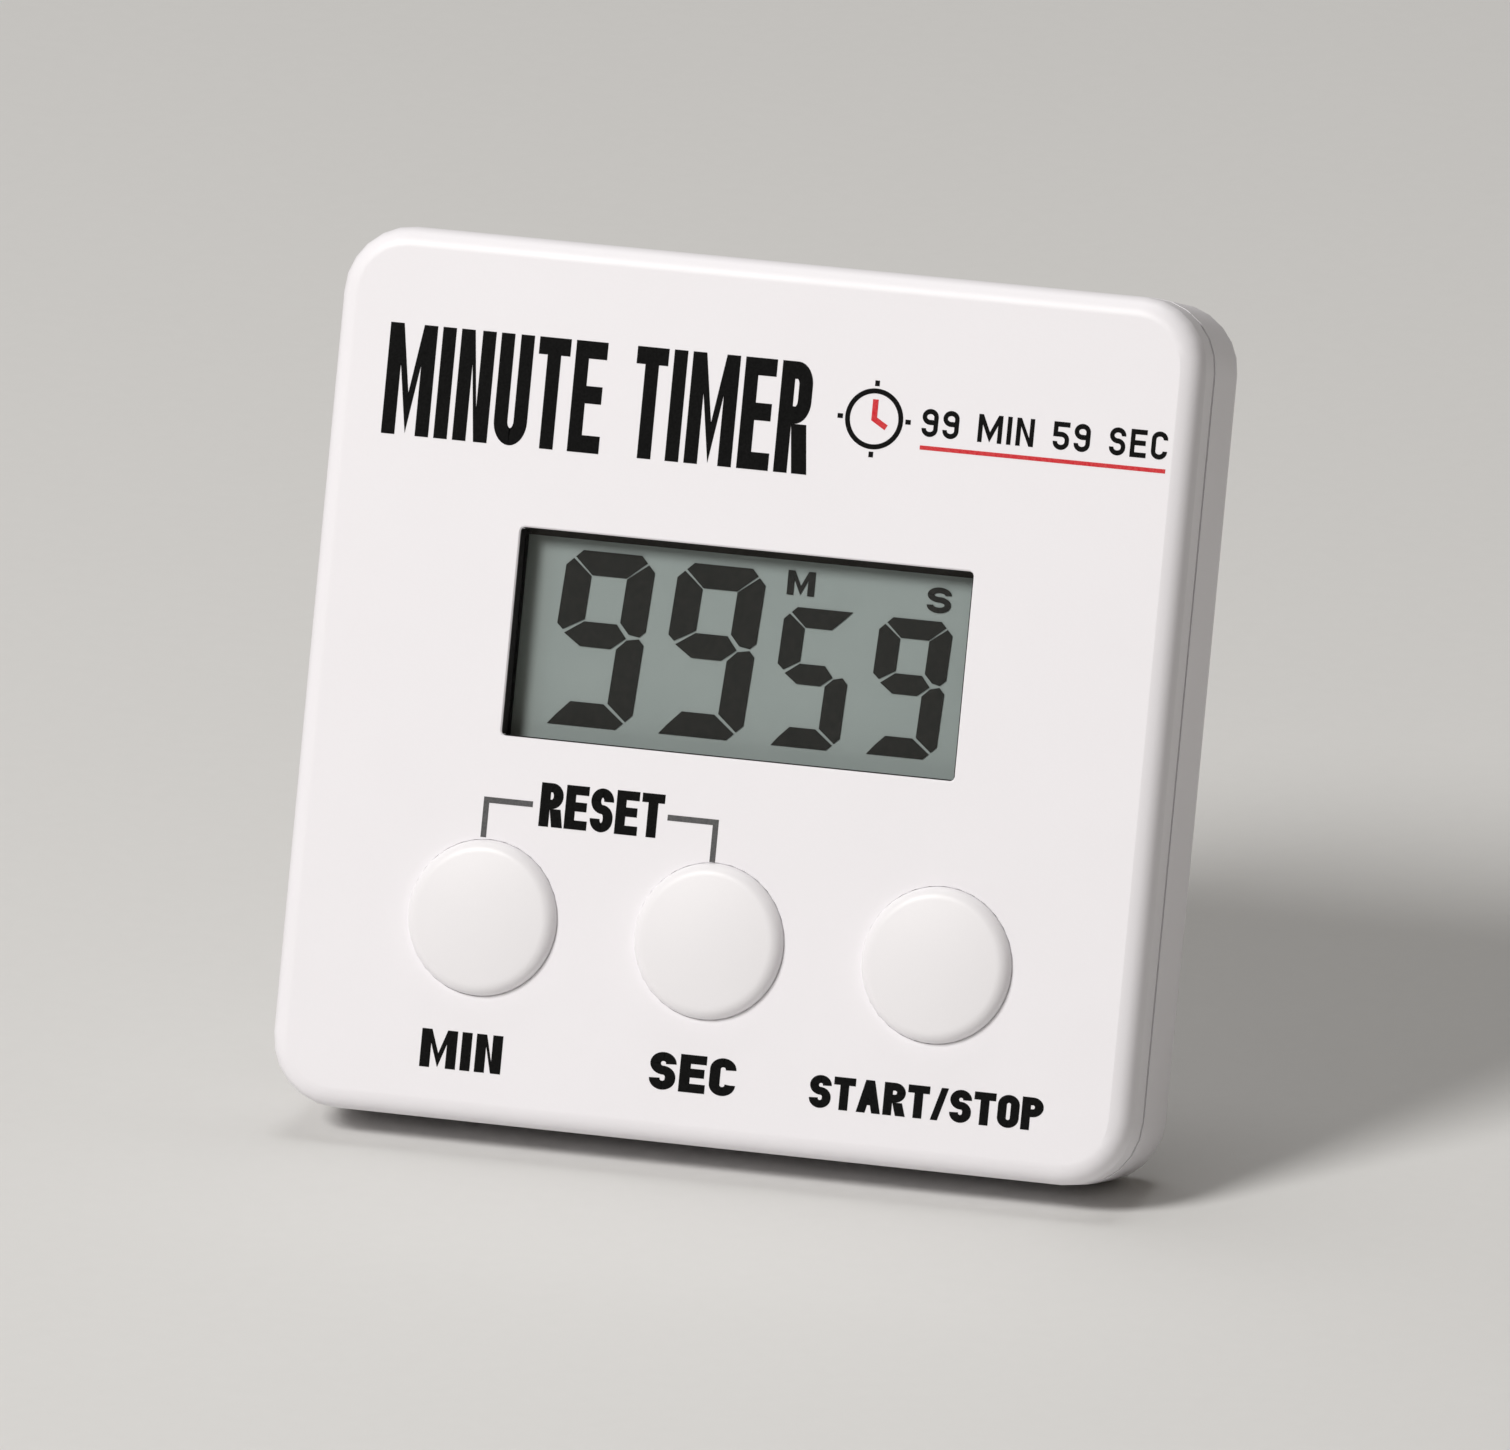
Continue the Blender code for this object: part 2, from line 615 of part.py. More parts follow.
def make_board_components(case, finishes):
    """What is soldered behind the board: controller, crystal, boost coil, transistor and chip parts."""
    seat = BOARD_BACK + FILM_GAP
    blob = [(0.0, seat), (4.6 * MM, seat), (4.3 * MM, seat + 0.45 * MM), (3.0 * MM, seat + 0.85 * MM)]
    blob.append((0.0, seat + 1.0 * MM))
    finish(turned("controller_blob", blob, case, (0.0, 31.0 * MM)), finishes["epoxy_black"])

    crystal = turned(
        "crystal_can",
        [(0.0, 0.0), (0.95 * MM, 0.0), (0.95 * MM, 5.6 * MM), (0.75 * MM, 6.0 * MM), (0.0, 6.0 * MM)],
        case,
        steps=SMALL_STEPS,
    )
    crystal.location = (-19.0 * MM, seat + 0.95 * MM, 28.0 * MM)
    crystal.rotation_euler = (math.radians(90), 0.0, 0.0)
    finish(crystal, finishes["steel"])

    coil = [
        (0.0, seat),
        (2.6 * MM, seat),
        (2.6 * MM, seat + 0.5 * MM),
        (2.1 * MM, seat + 0.5 * MM),
        (2.1 * MM, seat + 2.2 * MM),
        (2.6 * MM, seat + 2.2 * MM),
        (2.6 * MM, seat + 2.7 * MM),
        (0.0, seat + 2.7 * MM),
    ]
    coil_place = (20.0 * MM, 33.0 * MM)
    finish(turned("boost_coil", coil, case, coil_place, INNER_STEPS), finishes["epoxy_black"])

    chips = {
        "capacitor_1": ((-19.0 * MM, 20.0 * MM), (2.0 * MM, 1.2 * MM), 0.8 * MM, "chip_tan"),
        "capacitor_2": ((-19.0 * MM, 16.5 * MM), (2.0 * MM, 1.2 * MM), 0.8 * MM, "chip_tan"),
        "resistor_1": ((19.0 * MM, 25.5 * MM), (1.6 * MM, 0.8 * MM), 0.45 * MM, "epoxy_black"),
        "driver_transistor": ((19.0 * MM, 21.5 * MM), (2.9 * MM, 1.4 * MM), 1.0 * MM, "epoxy_black"),
    }
    for name, ((x, z), (width, height), thickness, surface) in chips.items():
        chip = block(
            name,
            (x - width / 2, seat, z - height / 2),
            (x + width / 2, seat + thickness, z + height / 2),
            case,
        )
        finish(chip, finishes[surface])


# ---------------------------------------------------------------- keys


def key_profile():
    """(radius, depth) of a key: crowned cap with a rounded rim, skirt, retaining flange and plunger."""
    rim_front = -KEY_PROUD
    points = [(0.0, rim_front - KEY_CROWN)]
    flat = KEY_RADIUS - KEY_EDGE_RADIUS
    for share in (0.35, 0.7, 1.0):
        points.append((share * flat, rim_front - KEY_CROWN * (1 - share**2)))
    for step in range(1, EDGE_STEPS + 1):
        angle = math.radians(90 * step / EDGE_STEPS)
        points.append(
            (flat + KEY_EDGE_RADIUS * math.sin(angle), rim_front + KEY_EDGE_RADIUS * (1 - math.cos(angle)))
        )
    flange_front = WALL + GAP
    flange_back = flange_front + KEY_FLANGE
    flange = KEY_RADIUS + KEY_FLANGE_REACH
    inside = KEY_RADIUS - KEY_SKIRT
    points += [
        (KEY_RADIUS, flange_front),
        (flange, flange_front),
        (flange, flange_back),
        (inside, flange_back),
        (inside, KEY_HOLLOW_DEPTH),
        (PLUNGER_RADIUS, KEY_HOLLOW_DEPTH),
        (PLUNGER_RADIUS, PLUNGER_END),
        (0.0, PLUNGER_END),
    ]
    return points


def make_keys(case, finishes):
    """Three keys, each over a silicone dome that carries a carbon pill, all seated in one mat."""
    crown = PLUNGER_END + GAP
    mat_back = BOARD_FRONT - FILM_GAP
    mat_front = mat_back - 0.6 * MM
    pill_back = mat_back - KEY_TRAVEL
    pill_front = pill_back - 0.4 * MM
    dome_inside = pill_front - FILM_GAP
    dome = [
        (0.0, crown),
        (2.1 * MM, crown),
        (2.3 * MM, crown + 0.3 * MM),
        (3.3 * MM, mat_front),
        (3.9 * MM, mat_front),
        (3.9 * MM, mat_back),
        (3.1 * MM, mat_back),
        (2.0 * MM, dome_inside),
        (0.0, dome_inside),
    ]
    mat = plate(
        "keypad_mat",
        [(x, z + KEY_HEIGHT) for x, z in rounded_outline(46.0 * MM, 11.0 * MM, 1.5 * MM, 3)],
        (mat_front, mat_back),
        case,
    )
    profile = key_profile()
    for name, x in zip(KEY_NAMES, KEY_XS):
        place = (x, KEY_HEIGHT)
        cut(mat, disc(f"dome_seat_{name}", 4.1 * MM, (0.0, BOARD_BACK), case, place))
        finish(turned(f"key_{name}", profile, case, place), finishes["key_white"])
        finish(turned(f"dome_{name}", dome, case, place, INNER_STEPS), finishes["silicone_grey"])
        pill = disc(f"pill_{name}", 1.5 * MM, (pill_front, pill_back), case, place, SMALL_STEPS)
        finish(pill, finishes["carbon"])
    finish(mat, finishes["silicone_grey"])


# ---------------------------------------------------------------- buzzer and battery


def make_wire(name, points, radius, case, surface):
    """A round wire along a smooth curve through a few route points, its caps closed."""
    guide = bpy.data.curves.new(name, "CURVE")
    guide.dimensions = "3D"
    guide.bevel_depth = radius
    guide.bevel_resolution = 2
    guide.use_fill_caps = True
    spline = guide.splines.new("POLY")
    route = smooth_route([Vector(point) * MM for point in points])
    spline.points.add(len(route) - 1)
    for target, point in zip(spline.points, route):
        target.co = (*point, 1.0)
    obj = bpy.data.objects.new(name, guide)
    bpy.context.collection.objects.link(obj)
    obj.parent = case
    guide.materials.append(surface)
    return obj


def smooth_route(points, per_span=4):
    """Points of a Catmull-Rom curve through the route."""
    ends = [2 * points[0] - points[1], *points, 2 * points[-1] - points[-2]]
    route = []
    for a, b, c, d in zip(ends, ends[1:], ends[2:], ends[3:]):
        for step in range(per_span):
            t = step / per_span
            bend = (2 * a - 5 * b + 4 * c - d) * t**2 + (3 * b - a - 3 * c + d) * t**3
            route.append(0.5 * (2 * b + (c - a) * t + bend))
    route.append(points[-1])
    return route


def make_buzzer(case, finishes):
    """The piezo bender on its seat, and the two wires to the board."""
    disc_depths = (8.5 * MM, 8.8 * MM)
    ceramic_depths = (8.15 * MM, 8.4 * MM)
    finish(disc("buzzer_disc", BUZZER_RADIUS, disc_depths, case, BUZZER_PLACE), finishes["brass"])
    finish(disc("buzzer_ceramic", 5.0 * MM, ceramic_depths, case, BUZZER_PLACE), finishes["piezo_ceramic"])
    red = [(16.0, 7.65, 52.0), (13.0, 7.4, 50.2), (10.6, 7.3, 47.5), (10.0, 7.2, 45.0), (10.0, 7.1, 43.8)]
    black = [(18.6, 7.65, 50.4), (16.4, 7.4, 48.4), (14.4, 7.3, 46.8), (13.6, 7.2, 45.2), (13.4, 7.1, 43.8)]
    make_wire("buzzer_wire_red", red, 0.35 * MM, case, finishes["wire_red"])
    make_wire("buzzer_wire_black", black, 0.35 * MM, case, finishes["wire_black"])


def make_battery(case, finishes):
    """The button cell with its stepped cap, and its two spring contacts."""
    near, far = BATTERY_DEPTHS
    cell = [
        (0.0, near),
        (4.6 * MM, near),
        (4.9 * MM, near + 0.5 * MM),
        (5.6 * MM, near + 0.6 * MM),
        (BATTERY_RADIUS, near + 1.0 * MM),
        (BATTERY_RADIUS, far - 0.3 * MM),
        (BATTERY_RADIUS - 0.3 * MM, far),
        (0.0, far),
    ]
    finish(turned("battery_cell", cell, case, BATTERY_PLACE, INNER_STEPS), finishes["steel"])

    x, z = BATTERY_PLACE
    leaf_back = near - GAP
    leaf_front = leaf_back - 0.3 * MM
    foot_x = -22.8 * MM
    negative = block(
        "contact_negative",
        (foot_x - 1.2 * MM, leaf_front, 42.5 * MM),
        (foot_x + 1.2 * MM, leaf_back, z + 1.5 * MM),
        case,
    )
    join(
        negative,
        block(
            "negative_tongue",
            (foot_x, leaf_front, z - 1.5 * MM),
            (x + 2.5 * MM, leaf_back, z + 1.5 * MM),
            case,
        ),
        block(
            "negative_foot",
            (foot_x - 1.2 * MM, leaf_front, 42.5 * MM),
            (foot_x + 1.2 * MM, BOARD_FRONT - FILM_GAP, 42.8 * MM),
            case,
        ),
    )
    finish(negative, finishes["spring_bronze"])

    foot_front = BOARD_BACK + FILM_GAP
    foot_back = foot_front + 0.25 * MM
    leaf_top = z - BATTERY_RADIUS - GAP
    positive = block(
        "contact_positive",
        (x - 1.4 * MM, foot_front, 42.6 * MM),
        (x + 1.4 * MM, foot_back, leaf_top),
        case,
    )
    upright = block(
        "positive_upright",
        (x - 1.4 * MM, 5.3 * MM, leaf_top - 0.25 * MM),
        (x + 1.4 * MM, foot_back, leaf_top),
        case,
    )
    join(positive, upright)
    finish(positive, finishes["spring_bronze"])


def make_battery_door(case, finishes):
    """The coin-slot cover: a disc with a skirt round the cell and two bayonet lugs."""
    inside, outside = DOOR_SKIRT
    skirt = [
        (0.0, DOOR_FACE),
        (inside, DOOR_FACE),
        (inside, DOOR_SKIRT_END),
        (outside, DOOR_SKIRT_END),
        (outside, DOOR_FACE),
        (DOOR_RADIUS, DOOR_FACE),
        (DOOR_RADIUS, REAR_FACE - DOOR_EDGE),
        (DOOR_RADIUS - DOOR_EDGE, REAR_FACE),
        (0.0, REAR_FACE),
    ]
    door = turned("battery_door", skirt, case, BATTERY_PLACE)
    place = (BATTERY_PLACE[0], 0.0, BATTERY_PLACE[1])
    for side in (-1, 1):
        near, far = sorted(side * reach for reach in LUG_REACH)
        lug_back = DOOR_SKIRT_END + LUG_THICKNESS
        lug = block(
            f"door_lug_{side}",
            (near, DOOR_SKIRT_END, -LUG_HALF_WIDTH),
            (far, lug_back, LUG_HALF_WIDTH),
            case,
        )
        lug.location = place
        join(door, lug)
    length, width, depth = COIN_SLOT
    slot = block(
        "coin_slot",
        (-length, REAR_FACE - depth, -width),
        (length, REAR_FACE + OVERCUT, width),
        case,
    )
    slot.location = place
    cut(door, slot)
    finish(door, finishes["case_white"])


# ---------------------------------------------------------------- leg and fasteners


def lowest_of_case():
    """How far the leaned case reaches below the case frame's origin: the rounded lower back edge."""
    return -min(inset * math.cos(LEAN) - depth * math.sin(LEAN) for inset, depth in rear_profile())


def leg_swing():
    """The leg's angle behind the vertical when its foot is flat on the desk."""
    drop = HINGE_HEIGHT * math.cos(LEAN) - HINGE_DEPTH * math.sin(LEAN) + lowest_of_case()
    reach = math.hypot(LEG_LENGTH, LEG_OUTER)
    return math.acos(drop / reach) - math.atan2(LEG_OUTER, LEG_LENGTH)


def heel_length():
    """How far the leg's stop reaches above the axis, to meet the trough's floor when the leg is open."""
    opened = leg_swing() + LEAN
    floor_reach = TROUGH_DEPTH - (REAR_FACE - HINGE_DEPTH) - GAP
    return (floor_reach + LEG_INNER * math.cos(opened)) / math.sin(opened)


def leg_loop(width, length_at):
    """One chamfered cross-section of the leg. length_at gives how far down each point is."""
    half, chamfer = width / 2, LEG_CHAMFER
    corners = [
        (-half, LEG_INNER + chamfer),
        (-half + chamfer, LEG_INNER),
        (half - chamfer, LEG_INNER),
        (half, LEG_INNER + chamfer),
        (half, LEG_OUTER - chamfer),
        (half - chamfer, LEG_OUTER),
        (-half + chamfer, LEG_OUTER),
        (-half, LEG_OUTER - chamfer),
    ]
    return [(x, y, -length_at(y)) for x, y in corners]


def make_leg(case, finishes):
    """The fold-out leg on its steel pin: barrel, tapered blade, flat foot, stop heel and grip ribs."""
    swing = leg_swing()
    hinge = bpy.data.objects.new("leg_hinge", None)
    bpy.context.collection.objects.link(hinge)
    hinge.parent = case
    hinge.location = (0.0, HINGE_DEPTH, HINGE_HEIGHT)
    hinge.rotation_euler = (swing + LEAN, 0.0, 0.0)

    top_width, foot_width = LEG_WIDTH
    heel = heel_length()
    foot_drop = LEG_LENGTH * math.cos(swing) - LEG_OUTER * math.sin(swing)

    def foot_length(y):
        return (foot_drop + y * math.sin(swing)) / math.cos(swing)

    leg = loft(
        "stand_leg",
        [
            leg_loop(top_width - 4.0 * MM, lambda y: -heel),
            leg_loop(top_width, lambda y: 0.0),
            leg_loop(top_width, lambda y: 6.0 * MM),
            leg_loop(foot_width, lambda y: foot_length(y) - FOOT_TRIM),
            leg_loop(foot_width - 2 * FOOT_TRIM, foot_length),
        ],
        hinge,
    )
    join(leg, rod("barrel", BARREL_RADIUS, top_width / 2, (0, 0, 0), hinge, 24))
    length, width, height = GRIP_RIB
    for number in range(GRIP_RIBS):
        low = GRIP_RIB_LOW + number * GRIP_RIB_PITCH
        rib = block(
            f"grip_rib_{number}",
            (-length, LEG_OUTER - BITE, low),
            (length, LEG_OUTER + height, low + width),
            hinge,
        )
        join(leg, rib)
    cut(leg, rod("barrel_bore", PIN_RADIUS + GAP, top_width / 2 + OVERCUT, (0, 0, 0), hinge))
    finish(leg, finishes["case_white"])

    pin_reach = BAY_WIDTH / 2 + PIN_BORE_REACH - PIN_END_GAP
    pin = rod("stand_pin", PIN_RADIUS, pin_reach, (0, HINGE_DEPTH, HINGE_HEIGHT), case)
    finish(pin, finishes["steel"])


def make_screw(name, place, under_head, screw_size, case, surface):
    """A cross-head screw driven in from the back: pan head, straight shank and a short point."""
    length, shank, head = screw_size
    rise = head * 0.5
    profile = [
        (0.0, under_head - length),
        (shank, under_head - length + shank),
        (shank, under_head),
        (head, under_head),
        (head, under_head + rise * 0.55),
        (head * 0.7, under_head + rise),
        (0.0, under_head + rise),
    ]
    screw = turned(name, profile, case, place, SMALL_STEPS)
    arm, half = head * 0.6, head * 0.14
    floor = under_head + rise * 0.35
    for label, (x, z) in {"a": (arm, half), "b": (half, arm)}.items():
        slot = block(f"{name}_slot_{label}", (-x, floor, -z), (x, under_head + rise + OVERCUT, z), case)
        slot.location = (place[0], 0.0, place[1])
        cut(screw, slot)
    finish(screw, surface)


def make_screws(case, finishes):
    """Four screws that close the case, and four that hold the board."""
    for number, place in enumerate(screw_places(CASE_SCREW_X, CASE_SCREW_HEIGHTS), 1):
        make_screw(f"case_screw_{number}", place, CASE_SCREW_SEAT + GAP, CASE_SCREW, case, finishes["steel"])
    for number, place in enumerate(screw_places(BOARD_SCREW_X, BOARD_SCREW_HEIGHTS), 1):
        seat = BOARD_BACK + FILM_GAP
        make_screw(f"board_screw_{number}", place, seat, BOARD_SCREW, case, finishes["steel"])


def make_magnet(case, finishes):
    """The ferrite disc in the middle of the back, its edge broken and its face just proud."""
    back = REAR_FACE + MAGNET_PROUD
    front = back - MAGNET_THICKNESS
    profile = [
        (0.0, front),
        (MAGNET_RADIUS - MAGNET_EDGE, front),
        (MAGNET_RADIUS, front + MAGNET_EDGE),
        (MAGNET_RADIUS, back - MAGNET_EDGE),
        (MAGNET_RADIUS - MAGNET_EDGE, back),
        (0.0, back),
    ]
    finish(turned("magnet", profile, case, MAGNET_PLACE), finishes["ferrite"])


# ---------------------------------------------------------------- assembly


def centre_on_desk(case):
    """Moves the case frame so that its lowest point is at z = 0, with the footprint round the origin."""
    bpy.context.view_layer.update()
    graph = bpy.context.evaluated_depsgraph_get()
    points = []
    for obj in bpy.data.objects:
        if obj.type == "EMPTY" or obj.hide_render:
            continue
        evaluated = obj.evaluated_get(graph)
        mesh = evaluated.to_mesh()
        points += [evaluated.matrix_world @ vertex.co for vertex in mesh.vertices]
        evaluated.to_mesh_clear()
    depths = [point.y for point in points]
    case.location.y -= (min(depths) + max(depths)) / 2
    case.location.z -= min(point.z for point in points)


def build():
    """Clears the scene, makes every part in the case frame and stands the timer on the desk."""
    for obj in list(bpy.data.objects):
        bpy.data.objects.remove(obj)
    case = bpy.data.objects.new("case_frame", None)
    bpy.context.collection.objects.link(case)
    case.rotation_euler = (-LEAN, 0.0, 0.0)
    finishes = make_materials()
    make_front_shell(case, finishes)
    make_rear_shell(case, finishes)
    make_display(case, finishes)
    make_board(case, finishes)
    make_board_components(case, finishes)
    make_keys(case, finishes)
    make_buzzer(case, finishes)
    make_battery(case, finishes)
    make_battery_door(case, finishes)
    make_leg(case, finishes)
    make_screws(case, finishes)
    make_magnet(case, finishes)
    centre_on_desk(case)


build()
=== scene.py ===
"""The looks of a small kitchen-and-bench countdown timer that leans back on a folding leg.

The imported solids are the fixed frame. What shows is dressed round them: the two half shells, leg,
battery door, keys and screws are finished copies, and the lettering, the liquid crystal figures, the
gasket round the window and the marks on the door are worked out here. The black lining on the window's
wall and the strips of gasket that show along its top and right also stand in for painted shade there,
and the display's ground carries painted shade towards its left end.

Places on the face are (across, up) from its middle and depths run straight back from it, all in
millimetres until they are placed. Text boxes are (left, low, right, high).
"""
import json

import bmesh
import bpy
import numpy as np
from mathutils import Matrix, Vector

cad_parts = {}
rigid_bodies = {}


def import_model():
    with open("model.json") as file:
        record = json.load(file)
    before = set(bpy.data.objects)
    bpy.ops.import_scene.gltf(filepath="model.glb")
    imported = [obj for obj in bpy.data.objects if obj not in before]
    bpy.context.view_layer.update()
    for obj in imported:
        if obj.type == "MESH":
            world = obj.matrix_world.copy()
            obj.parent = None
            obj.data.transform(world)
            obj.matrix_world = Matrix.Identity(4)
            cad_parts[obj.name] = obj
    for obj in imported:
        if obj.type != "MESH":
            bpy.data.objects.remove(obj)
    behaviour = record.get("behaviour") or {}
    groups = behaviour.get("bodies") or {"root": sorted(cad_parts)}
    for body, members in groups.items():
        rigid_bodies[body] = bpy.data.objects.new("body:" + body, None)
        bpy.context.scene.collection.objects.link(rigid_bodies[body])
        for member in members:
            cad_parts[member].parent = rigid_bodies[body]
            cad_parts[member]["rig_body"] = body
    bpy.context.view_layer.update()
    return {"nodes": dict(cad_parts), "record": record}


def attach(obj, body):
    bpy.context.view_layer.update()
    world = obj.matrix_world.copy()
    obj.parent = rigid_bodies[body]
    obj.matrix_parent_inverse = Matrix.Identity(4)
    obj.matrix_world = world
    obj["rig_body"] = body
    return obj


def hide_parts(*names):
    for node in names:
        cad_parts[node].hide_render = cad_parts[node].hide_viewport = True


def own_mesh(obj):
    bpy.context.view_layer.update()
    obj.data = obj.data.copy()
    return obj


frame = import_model()

MM = 0.001
SAME_POINT = 2e-7  # metres within which two points are one
NEEDLE = 1e-7  # metres below which a sliver of a face is closed up
ONE_FLAT = 0.5  # degrees that the facets of one flat may differ by
SMOOTH = 30.0  # degrees below which an edge is shaded smooth
KEY_SMOOTH = 40.0
BREAK_ABOVE = 10.0  # degrees past the smooth ones at which an edge is broken
TURN = 96  # facets round a turned piece
CROWN_STEPS = 14  # rings over a key's crown
EDGE_STEPS = 9  # rings round its rolled edge

CASE_BACK_MOUNT = (22.0, -1.75, 11.5)  # across, up and depth of the case_back mount

KEY_PITCH = 17.15
KEY_LINE = -17.05
KEY_RADIUS = 5.61
KEY_PROUD = 0.9
KEY_CROWN = 0.25
KEY_EDGE = 0.95
KEY_FLANGE = (6.28, 1.8, 2.6)  # radius, front and back
KEY_HOLLOW = (4.45, 1.0)  # radius of the skirt inside and how far up it is hollow
KEY_PLUNGER = (2.0, 3.3)  # radius and end
KEYS = {"min": -KEY_PITCH, "sec": 0.0, "start_stop": KEY_PITCH}
DOME_FOOT = 5.5  # depth at the foot of the silicone domes

WINDOW_MIDDLE = 3.6
WINDOW_HALF = (17.1, 7.5)
FIELD_PAINTED_SHADE = (-17.5, -14.5)  # across, from the ground's dark left end to where it is plain: painted shade from the window's left wall
GASKET_OVERLAP = 0.9  # how far the gasket reaches under the face round the window
GASKET_SHOWN_AS_SHADE = (0.25, 0.5)  # how much of it shows at the right and along the top; these black strips are painted shade, standing in for the shadow of the window's edges there
GASKET_DEPTHS = (1.92, 2.12)
SHADE_LINING_GAP = 0.015  # between the window's wall and the black lining on it, which also stands in for painted shade on the wall
SHADE_LINING_INNER = 0.07
SHADE_LINING_DEPTHS = (0.13, 1.08)

FIGURES_AT = (2.13, 2.17)  # just in front of the front glass, whose film is the ground
FIGURES_LEFT = 0.7  # the figures lie this far to the left of where the window shows them
FIGURES = (  # sign, left, low, width, height, bar, stem and lean over the height
    ("9", -14.15, -2.75, 6.7, 12.6, 1.74, 2.0, 0.82),
    ("9", -5.72, -2.68, 6.65, 12.4, 1.74, 2.0, 0.82),
    ("5", 2.85, -2.68, 5.4, 10.0, 1.42, 1.65, 0.48),
    ("9", 10.05, -2.62, 5.5, 9.9, 1.42, 1.65, 0.48),
)
UNITS = (  # sign, left, low, right, high, stem and bar
    ("M", 3.3, 8.15, 5.35, 9.9, 0.50, 0.42),
    ("S", 13.85, 7.88, 15.65, 9.72, 0.48, 0.40),
)
LIMBS = {"9": "abcdfg", "5": "acdfg"}  # the segments that are driven
FIGURE_WAIST = 0.525  # share of the height at which the two loops meet
FIGURE_CLIP = 0.17  # share of the width clipped off the outer corners
FIGURE_GAP = 0.06  # between one limb and the next
WAIST_HALF = 0.52  # half the middle bar, in bars
FOOT_IN = 0.06  # share of the width that the bottom bar starts in from the left

INK_DEPTHS = (-0.02, 0.01)  # printing stands proud of the face by a hair
TITLE = ("MINUTE TIMER", (-28.3, 16.8, 3.8, 24.8), 1.02, 1.25, 0.40)  # words, box, stem, bar and gap
RANGE = ("99 MIN 59 SEC", (12.2, 20.35, 30.6, 22.35), 0.33, 0.36, 0.36)
KEY_LABELS = (
    ("RESET", (-13.65, -10.1, -4.3, -6.95), 0.74, 0.66, 0.20),
    ("MIN", (-20.9, -28.1, -14.75, -25.35), 0.76, 0.66, 0.34),
    ("SEC", (-3.55, -27.95, 2.95, -25.25), 0.80, 0.64, 0.28),
    ("START/STOP", (8.55, -28.05, 26.1, -25.7), 0.66, 0.56, 0.17),
)
BRACKET = (((-14.2, -8.6), (-17.7, -8.6), (-17.7, -11.3)), ((-4.0, -8.55), (-0.35, -8.55), (-0.35, -11.4)))
BRACKET_LINE = 0.42
DIAL_MIDDLE = (8.6, 21.25)
DIAL_RING = (2.0, 0.36)  # radius and width of line
DIAL_TICKS = (2.35, 2.75, 0.34)  # inner end, outer end and width of line
DIAL_HANDS = ((8.6, 22.65), (8.6, 21.25), (9.55, 20.7))
DIAL_HAND_LINE = 0.42
RULE = ((12.2, 19.55), (30.6, 19.55))
RULE_LINE = 0.3
RING_STEPS = 48

SIGN_WIDTH = {"M": 1.5, "N": 1.1, "U": 1.05, "/": 0.75, " ": 0.60, "A": 1.12}  # the others are 1 wide
ARC = 9  # points on a rounded corner of a letter
ROUND_WIDE, ROUND_TALL = 0.5, 0.75  # how much of a bowl its corners take
WAIST = 0.52  # height of a letter's waist, as a share of the letter
V_FALL, N_FALL = 0.36, 0.30  # how tall the slanting limbs of M and N are cut
V_FOOT = 0.02  # where the middle of M ends above the line
CROSSBAR = 0.24  # height of A's crossbar
HOOKS = (0.30, 0.70)  # where S, C, 5 and 9 end, low and high
E_ARM = 0.94
R_HIP, R_KICK = 1.45, 0.12  # where R's leg leaves the bowl and how far its foot stands out, in stems
SLASH_STEM = 0.8
FIVE_NECK, FIVE_BOWL = 0.3, 0.2  # where 5's neck stops and its bowl starts, in bars from the waist

DOOR_MIDDLE = (-17.5, 20.65)
DOOR_FACE = 11.5
MARKS_PROUD, MARKS_SUNK = 0.14, 0.05
PLUS_UP, PLUS_REACH, PLUS_HALF = 4.1, 1.25, 0.21
ARROW_RADIUS, ARROW_HALF = 5.7, 0.22
ARROW_SWEEP = (-122, -66, 24)  # degrees from, degrees to and steps
ARROW_TIP, ARROW_BASE, ARROW_BARB = -54, -67, 0.85  # degrees, degrees and half the head's width

CAMERA_TURN, CAMERA_RISE, CAMERA_AWAY = 18.89, 17.36, 2.0  # degrees, degrees and metres
CAMERA_AIM = (1.65, -1.51)  # to the right and up from the face's middle, square to the view
LENS_MM, SENSOR_MM = 667.6, 36.0
CLIP = (0.1, 50.0)  # metres
FLOOR = ((-4, -3, 0), (4, -3, 0), (4, 6, 0), (-4, 6, 0))  # metres
KEY_LIGHT = ((-0.60, -0.98, 1.02), 0.5, 18.4, (1.0, 0.985, 0.965))  # place, size, watts and colour
TOP_LIGHT = ((-0.10, 0.35, 1.30), 0.8, 5.0, (1.0, 1.0, 1.0))
AIR = ((1.0, 0.925, 0.81, 1.0), 0.125)  # colour and strength


# ---------------------------------------------------------------- places

record = frame["record"]
press = next(j for j in record["behaviour"]["joints"] if j["name"] == "min_press")
mount = next(m for m in record["mounts"] if m["name"] == "case_back")
RIGHT = np.array((1.0, 0.0, 0.0))
BACK = np.array(press["axis"]) / np.linalg.norm(press["axis"])
UP = np.cross(RIGHT, BACK)
FACE = np.array((RIGHT, UP, BACK))
MIDDLE = np.array(mount["pos_m"]) - MM * (np.array(CASE_BACK_MOUNT) @ FACE)


def on_face(across, up, depth):
    """Middle of the face + across * right + up * up the face + depth * straight back into the case."""
    across, up, depth = np.broadcast_arrays(across, up, depth)
    return MIDDLE + MM * np.stack((across, up, depth), axis=-1) @ FACE


# ---------------------------------------------------------------- meshes

def skin(rings, looped=False, capped=True):
    """Quads between each ring of points and the next, with the ends closed by one face each."""
    rows, around = rings.shape[:2]
    last = rows if looped else rows - 1
    row, column = np.meshgrid(np.arange(last), np.arange(around), indexing="ij")
    below, beside = (row + 1) % rows, (column + 1) % around
    corners = (row * around + column, row * around + beside,
               below * around + beside, below * around + column)
    faces = np.stack(corners, axis=-1).reshape(-1, 4).tolist()
    if capped and not looped:
        faces += [list(range(around))[::-1], list(range((rows - 1) * around, rows * around))]
    return rings.reshape(-1, 3), faces


